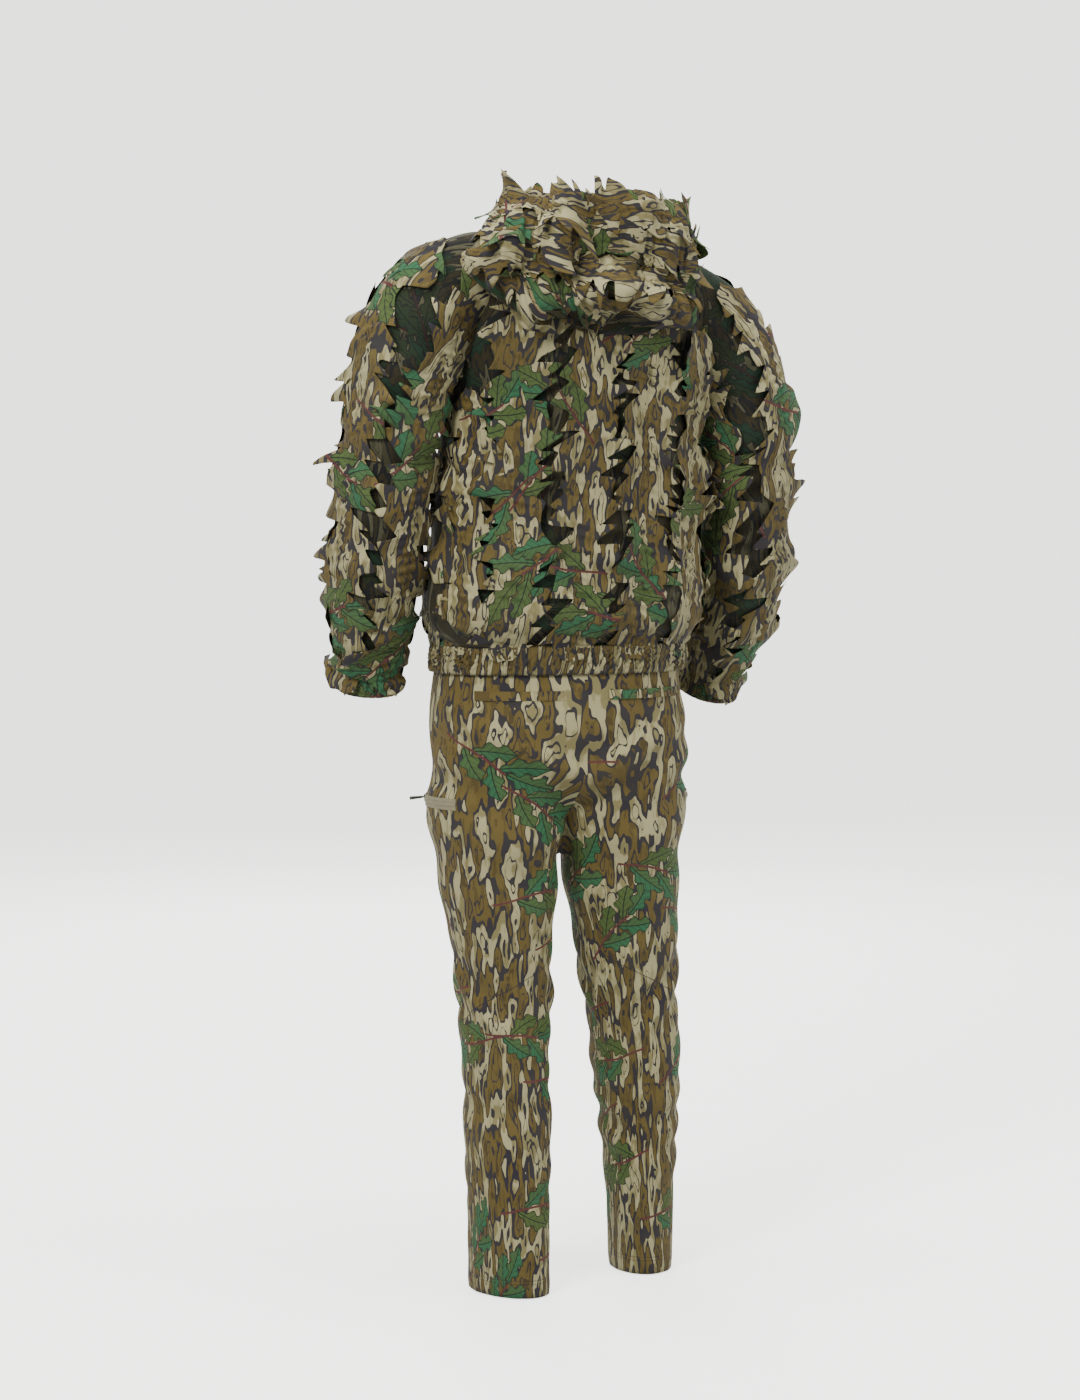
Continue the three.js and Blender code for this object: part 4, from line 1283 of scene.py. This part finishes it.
def jacket_back_y(x: Array, z: Array) -> Array:
    """The y of the back of the jacket's body at places across and up it."""
    rings = np.array([[r.centre[2], r.half, r.depth, r.centre[1], r.power] for r in TORSO_RINGS])
    flat_x = x + LEAN * (z - HEM_BOTTOM)
    ring = [np.interp(z - SHOULDER_TILT * flat_x, rings[:, 0], rings[:, i]) for i in (1, 2, 3, 4)]
    half, depth, middle, power = ring
    inside = np.clip(1 - np.abs(flat_x / half) ** power, 0, 1)
    return middle + depth * inside ** (1 / power)


def drape_on_back(points: Array) -> Array:
    """Leans the hood's points the jacket's way and keeps them behind its back."""
    points = np.array(points, dtype=float)
    side = np.clip((points[..., 0] - HOOD_SHIFT) / 0.15, 0, 1.2) ** 2
    flare = 0.034 * near(points[..., 2], 1.425, 0.045)
    points[..., 0] += side * (flare - 0.018 * smooth_step((points[..., 2] - 1.47) / 0.07))
    moved = stance(points)
    back = jacket_back_y(moved[..., 0], moved[..., 2]) + 0.005
    moved[..., 1] = np.maximum(moved[..., 1], np.maximum(back, HOOD_FRONT))
    return moved


@dataclass
class Hood:
    """The hood, lowered on the back, with its elastic rim and its strips."""

    mesh: Material
    leaf: Material
    elastic: Material
    tube: Tube = field(default_factory=lambda: Tube(HOOD_RINGS, drape_on_back, hood_folds))

    def rim_row(self, angle: Array, below: float = 0.0) -> Array:
        """The table row where the tube meets the rim's plane, or some way below it, at angles."""
        columns = (angle + math.pi) % TURN / TURN * (self.tube.sides - 1)
        points = self.tube.points[:, np.clip(np.round(columns).astype(int), 0, self.tube.sides - 1)]
        dip = 0.007 + 0.007 * ripple(107, 4, 0.3, 1.2)(angle)
        over = points[..., 2] - HOOD_AXIS[1] - HOOD_RIM_SLOPE * (points[..., 1] - HOOD_AXIS[0]) + below + dip
        return np.argmax(over > 0, axis=0).astype(float)

    def pouch(self) -> Object:
        """The hood's cloth, from the bottom of the pouch to the rim."""
        tube = self.tube
        creases = ripple(61, 5, 9.0, 24.0)
        billows = ripple(62, 4, 3.0, 8.0)

        def shape(across: Array, along: Array) -> tuple[Array, Array]:
            """Points of the pouch."""
            angle = across * TURN - math.pi
            row = along * self.rim_row(angle)
            points, normals = tube.read(row, angle)
            behind = smooth_step((points[:, 1] - 0.13) / 0.04)
            fold = creases(points[:, 2] + 0.12 * np.abs(points[:, 0])) * 0.5
            fold = fold + billows(points[:, 0] + 0.3 * points[:, 2]) * 0.5
            out = 0.006 * behind * fold * np.sin(np.clip(along, 0, 1) * math.pi) - 0.002
            flat = np.stack([across * 0.75, points[:, 2]], axis=-1)
            return points + normals * out[:, None], flat

        pouch = cloth_grid("hood_pouch", 160, 90, shape, self.mesh, HOOD_CLOTH, is_ring=True)
        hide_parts("hood_shell")
        return pouch

    def rim(self) -> Object:
        """The gathered elastic rim."""
        tube = self.tube
        uneven = ripple(63, 6, 6.0, 30.0)

        def shape(across: Array, along: Array) -> tuple[Array, Array]:
            """Points of the rim band."""
            angle = across * TURN - math.pi
            top, bottom = self.rim_row(angle), self.rim_row(angle, 0.020)
            row = bottom + (top - bottom) * along
            points, normals = tube.read(row, angle)
            pleat = np.sin(angle * 44 + 2.0 * uneven(across * 0.7))
            out = 0.0010 + 0.0034 * np.sin(along * math.pi) ** 0.5 * (0.5 + 0.5 * pleat)
            return points + normals * out[:, None], np.stack([along * 0.02 + 0.7, across * 1.1], axis=-1)

        rim = cloth_grid("hood_elastic_rim", 420, 10, shape, self.elastic, RIM_CLOTH, is_ring=True)
        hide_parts("hood_brim")
        return rim

    def strips(self) -> list[Object]:
        """The level strips round the back of the pouch."""
        plan = [(0.036, 0.36, 0.040), (0.078, 0.48, 0.043), (0.124, 0.52, 0.043), (0.164, 0.54, 0.046)]
        made = []
        for index, (height, length, half) in enumerate(plan):
            strip = LeafStrip(
                f"hood_strip_{index + 1}", self.tube, Run.ROUND, math.pi / 2, height, length,
                seed=90 + index, half=half, lift=0.021, base=0.004, tilt=0.45, fullness=1.4,
            ).build(self.leaf, ["hood_pouch"])
            if index < 3:
                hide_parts(f"hood_leaf_strip_{index + 1}")
            made.append(strip)
        return made

    def build(self) -> list[Object]:
        """Makes every piece of the hood."""
        return [self.pouch(), self.rim(), *self.strips()]


# ---------------------------------------------------------------- the trousers
@dataclass
class Trousers:
    """The printed trousers, as one sewn shell with its waistband."""

    twill: Material
    voxel: float = 0.0050
    top: float = 0.935
    hem_cut: float = 0.004
    hem_edge: float = 0.0006

    def closed_tube(self, bm: bmesh.types.BMesh, rings: Sequence[Ring], sides: int, rows: int) -> None:
        """Adds a closed tube through rings to a bmesh."""
        tube = Tube(rings)
        verts = bmesh.ops.create_grid(bm, x_segments=sides, y_segments=rows, size=0.5)["verts"]
        shares = np.array([vert.co[:2] for vert in verts]) + 0.5
        _, points, _ = tube.read_round(shares[:, 0], shares[:, 1] * (tube.rows - 1))
        for vert, point in zip(verts, points.tolist()):
            vert.co = point
        bmesh.ops.remove_doubles(bm, verts=verts, dist=1e-5)
        open_edges = [edge for edge in bm.edges if edge.is_boundary]
        bmesh.ops.holes_fill(bm, edges=open_edges, sides=0)

    def blank(self) -> bpy.types.Mesh:
        """Both legs and the hips joined into one smooth closed mesh."""
        bm = bmesh.new()
        self.closed_tube(bm, HIP_RINGS, 72, 40)
        for rings in LEG_RINGS.values():
            self.closed_tube(bm, rings, 56, 90)
        bmesh.ops.recalc_face_normals(bm, faces=bm.faces)
        source = add_object("trouser_blank", bm, self.twill)
        remesh = source.modifiers.new("join", "REMESH")
        remesh.mode = "VOXEL"
        remesh.voxel_size = self.voxel
        graph = bpy.context.evaluated_depsgraph_get()
        mesh = bpy.data.meshes.new_from_object(source.evaluated_get(graph))
        bpy.data.objects.remove(source)
        return mesh

    def folds(self, points: Array) -> Array:
        """How far the cloth stands out from the blank at its points."""
        x, y, z = points[:, 0], points[:, 1], points[:, 2]
        side = np.sign(x)
        leg_x = np.where(x > 0, 0.088, -0.094 - 0.05 * np.clip(1 - z / 0.6, 0, 1))
        angle = np.arctan2(y, (x - leg_x) * side)
        swirl = z + 0.030 * np.sin(angle * 1.0 + 0.6)
        shin = near(z, 0.24, 0.10)
        knee = near(z, 0.42, 0.07)
        thigh = near(z, 0.62, 0.09)
        seat = near(z, 0.76, 0.06) * (y > 0)
        bunch = ripple(81, 4, 10.0, 22.0)(swirl + 0.05 * side) * 0.0024 * shin
        crease = ripple(82, 4, 7.0, 15.0)(z + 0.065 * np.abs(angle)) * 0.0026 * knee
        drag = ripple(83, 4, 7.0, 14.0)(z - 0.35 * np.abs(x - leg_x)) * 0.0024 * thigh
        smile = ripple(84, 3, 9.0, 16.0)(z - 0.55 * np.abs(x)) * 0.0030 * seat
        soft = ripple(85, 5, 2.0, 7.0)(z + 0.4 * x + 0.3 * y) * 0.0022
        damp = smooth_step((z - 0.002) / 0.05) * smooth_step((0.905 - z) / 0.03)
        pocket = 1 - near(z, POCKET_ZIP, 0.016) * (np.abs(x) > 0.15)
        return (bunch + crease + drag + smile + soft - 0.0012) * damp * pocket

    def flat_places(self, points: Array, middle: Array) -> Array:
        """Flat places on the cloth for corners, unrolled about each leg.

        Args:
            points: the corners.
            middle: the middle of each corner's face, which keeps a face from being split.

        Returns:
            The places, in metres.
        """
        side = np.where(middle[:, 0] > 0, 1.0, -1.0)
        low = np.clip(1 - points[:, 2] / CROTCH, 0, 1)
        axis_x = np.where(side > 0, THIGH_OFFSET - 0.008 * low, -THIGH_OFFSET - 0.050 * low)
        axis_y = np.where(side > 0, 0.035 * low**1.5, -0.035 * low)
        angle = np.arctan2(points[:, 1] - axis_y, (points[:, 0] - axis_x) * side)
        centre = np.arctan2(middle[:, 1] - axis_y, (middle[:, 0] - axis_x) * side)
        angle = np.where(angle - centre > math.pi, angle - TURN, angle)
        angle = np.where(angle - centre < -math.pi, angle + TURN, angle)
        return np.stack([angle * 0.085 * side + 2.0 + side, points[:, 2]], axis=-1)

    def shell(self) -> Object:
        """The sewn shell of legs and seat."""
        mesh = self.blank()
        bm = bmesh.new()
        bm.from_mesh(mesh)
        for _ in range(6):
            bmesh.ops.smooth_vert(
                bm, verts=bm.verts, factor=0.5, use_axis_x=True, use_axis_y=True, use_axis_z=True
            )
        bm.normal_update()
        points = np.array([vert.co[:] for vert in bm.verts])
        normals = np.array([vert.normal[:] for vert in bm.verts])
        moved = points + normals * self.folds(points)[:, None]
        for vert, point in zip(bm.verts, moved.tolist()):
            vert.co = point
        for height, is_inner in ((self.hem_cut, True), (self.top, False)):
            bmesh.ops.bisect_plane(
                bm, geom=[*bm.verts, *bm.edges, *bm.faces], plane_co=(0, 0, height), plane_no=(0, 0, 1),
                clear_inner=is_inner, clear_outer=not is_inner,
            )
        for vert in bm.verts:
            if vert.co.z < self.hem_cut + 1e-5:
                vert.co.z = self.hem_edge
        layer = bm.loops.layers.uv.new("cloth")
        loops = [loop for face in bm.faces for loop in face.loops]
        corners = np.array([loop.vert.co[:] for loop in loops])
        middles = np.array([loop.face.calc_center_median()[:] for loop in loops])
        for loop, place in zip(loops, self.flat_places(corners, middles).tolist()):
            loop[layer].uv = place
        shell = add_object("trouser_shell", bm, self.twill)
        wall = shell.modifiers.new("thickness", "SOLIDIFY")
        wall.thickness = TWILL_CLOTH
        wall.offset = -1.0
        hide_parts("trouser_leg_left", "trouser_leg_right")
        return shell

    def build(self) -> list[Object]:
        """Makes the trousers."""
        return [self.shell()]


# ---------------------------------------------------------------- studio
def add_studio() -> None:
    """A plain pale floor that curves up into a backdrop, soft light and the camera."""
    bm = bmesh.new()
    profile = [(0.0, 0.0), (5.0, 0.0), (6.5, 0.15), (7.6, 0.7), (8.3, 1.6), (8.6, 3.0), (8.7, 9.0)]
    verts = [bm.verts.new((x, 0.0, z - 0.001)) for x, z in profile]
    edges = [bm.edges.new(pair) for pair in zip(verts, verts[1:])]
    bmesh.ops.spin(
        bm, geom=[*verts, *edges], cent=(0, 0, 0), axis=(0, 0, 1), angle=TURN, steps=96, use_merge=True
    )
    bmesh.ops.remove_doubles(bm, verts=bm.verts, dist=1e-4)
    shader = Shader("studio_floor")
    shader.surface.inputs["Base Color"].default_value = paint("F2F3F0")
    shader.surface.inputs["Roughness"].default_value = 0.95
    shader.surface.inputs["Specular IOR Level"].default_value = 0.1
    shader.surface.inputs["Emission Color"].default_value = (1.0, 1.0, 0.98, 1.0)
    shader.surface.inputs["Emission Strength"].default_value = 1.9
    floor = add_object("studio_floor", bm, shader.material)
    floor.visible_diffuse = False
    world = bpy.data.worlds.new("studio")
    world.use_nodes = True
    background = world.node_tree.nodes["Background"]
    background.inputs["Color"].default_value = (0.95, 0.97, 0.95, 1.0)
    background.inputs["Strength"].default_value = 0.48
    bpy.context.scene.world = world
    for name, place, size, power in (
        ("key_light", (3.4, 3.0, 3.3), 1.6, 260.0),
        ("fill_light", (-3.4, 2.6, 1.8), 2.4, 80.0),
        ("front_light", (-1.0, -4.0, 2.8), 2.4, 170.0),
        ("top_light", (0.0, 0.4, 4.2), 1.8, 120.0),
    ):
        light = bpy.data.lights.new(name, "AREA")
        light.size = size
        light.energy = power
        lamp = bpy.data.objects.new(name, light)
        lamp.location = place
        lamp.rotation_euler = (Vector((0, 0, 0.9)) - Vector(place)).to_track_quat("-Z", "Y").to_euler()
        bpy.context.scene.collection.objects.link(lamp)
    camera = bpy.data.cameras.new("camera")
    camera.lens = 82.65
    camera.sensor_width = 36.0
    view = bpy.data.objects.new("camera", camera)
    view.location = (1.593, 4.306, 1.178)
    view.rotation_euler = (math.radians(90 - 4.2), 0.0, math.radians(160))
    bpy.context.scene.collection.objects.link(view)
    bpy.context.scene.camera = view


def dress(nodes: Sequence[str], material: Material) -> None:
    """Gives CAD nodes a material."""
    for name in nodes:
        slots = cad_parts[name].data.materials
        slots.clear()
        slots.append(material)


def main() -> None:
    """Builds the suit."""
    logging.basicConfig(level=logging.INFO, format="%(message)s")
    # Each cloth's darkening is painted shade: deep on the jacket's mesh and the hood's mesh under the strips,
    # slight on the strips and the elastic bands.
    leaf = PrintedCloth(Weave.LEAF, painted_shade=0.17).material()
    mesh = PrintedCloth(Weave.MESH, painted_shade=0.83).material()
    hood_mesh = PrintedCloth(Weave.MESH, is_turned=True, painted_shade=0.62).material()
    elastic = PrintedCloth(Weave.ELASTIC, painted_shade=0.2).material()
    twill = PrintedCloth(Weave.TWILL, is_sewn=True).material()
    trim = PrintedCloth(Weave.TWILL, is_trim=True).material()
    tape = PlainFinish("woven_tape", paint("7D7559"), paint("97906F"), 0.85, ribs=0.0016, depth=0.0003)
    teeth = PlainFinish("moulded_teeth", paint("2C2B25"), paint("4A483D"), 0.45, grain=1400)
    metal = PlainFinish("dark_metal", paint("3A3830"), paint("7A776A"), 0.38, metallic=0.85, grain=2200)
    braid = PlainFinish("braided_cord", paint("3F4130"), paint("5C5E45"), 0.8, ribs=0.0024, depth=0.0005)
    dress(["zip_tape_left", "zip_tape_right", "pocket_zip_left", "pocket_zip_right"], tape.material())
    dress(["zip_chain_left", "zip_chain_right", "fly_zip_chain"], teeth.material())
    metals = ["zip_slider", "zip_pull", "zip_box", "fly_slider", "fly_pull", "waist_button"]
    dress([*metals, "pocket_slider_left", "pocket_slider_right"], metal.material())
    dress(["pocket_pull_left", "pocket_pull_right"], braid.material())
    dress(["trouser_waistband", "fly_placket_left", "fly_placket_right"], trim)
    dress(["back_pocket_left", "back_pocket_right"], trim)
    groups = {
        "suit": [
            *JacketBody(mesh, leaf, elastic).build(),
            *Sleeve("left", mesh, leaf, elastic).build(),
            *Sleeve("right", mesh, leaf, elastic).build(),
            *Trousers(twill).build(),
        ],
        "hood": Hood(hood_mesh, leaf, elastic).build(),
    }
    for body, pieces in groups.items():
        for piece in pieces:
            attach(piece, body)
            log.info("%s: %d faces", piece.name, len(piece.data.polygons))
    add_studio()


if __name__ == "__main__":
    main()
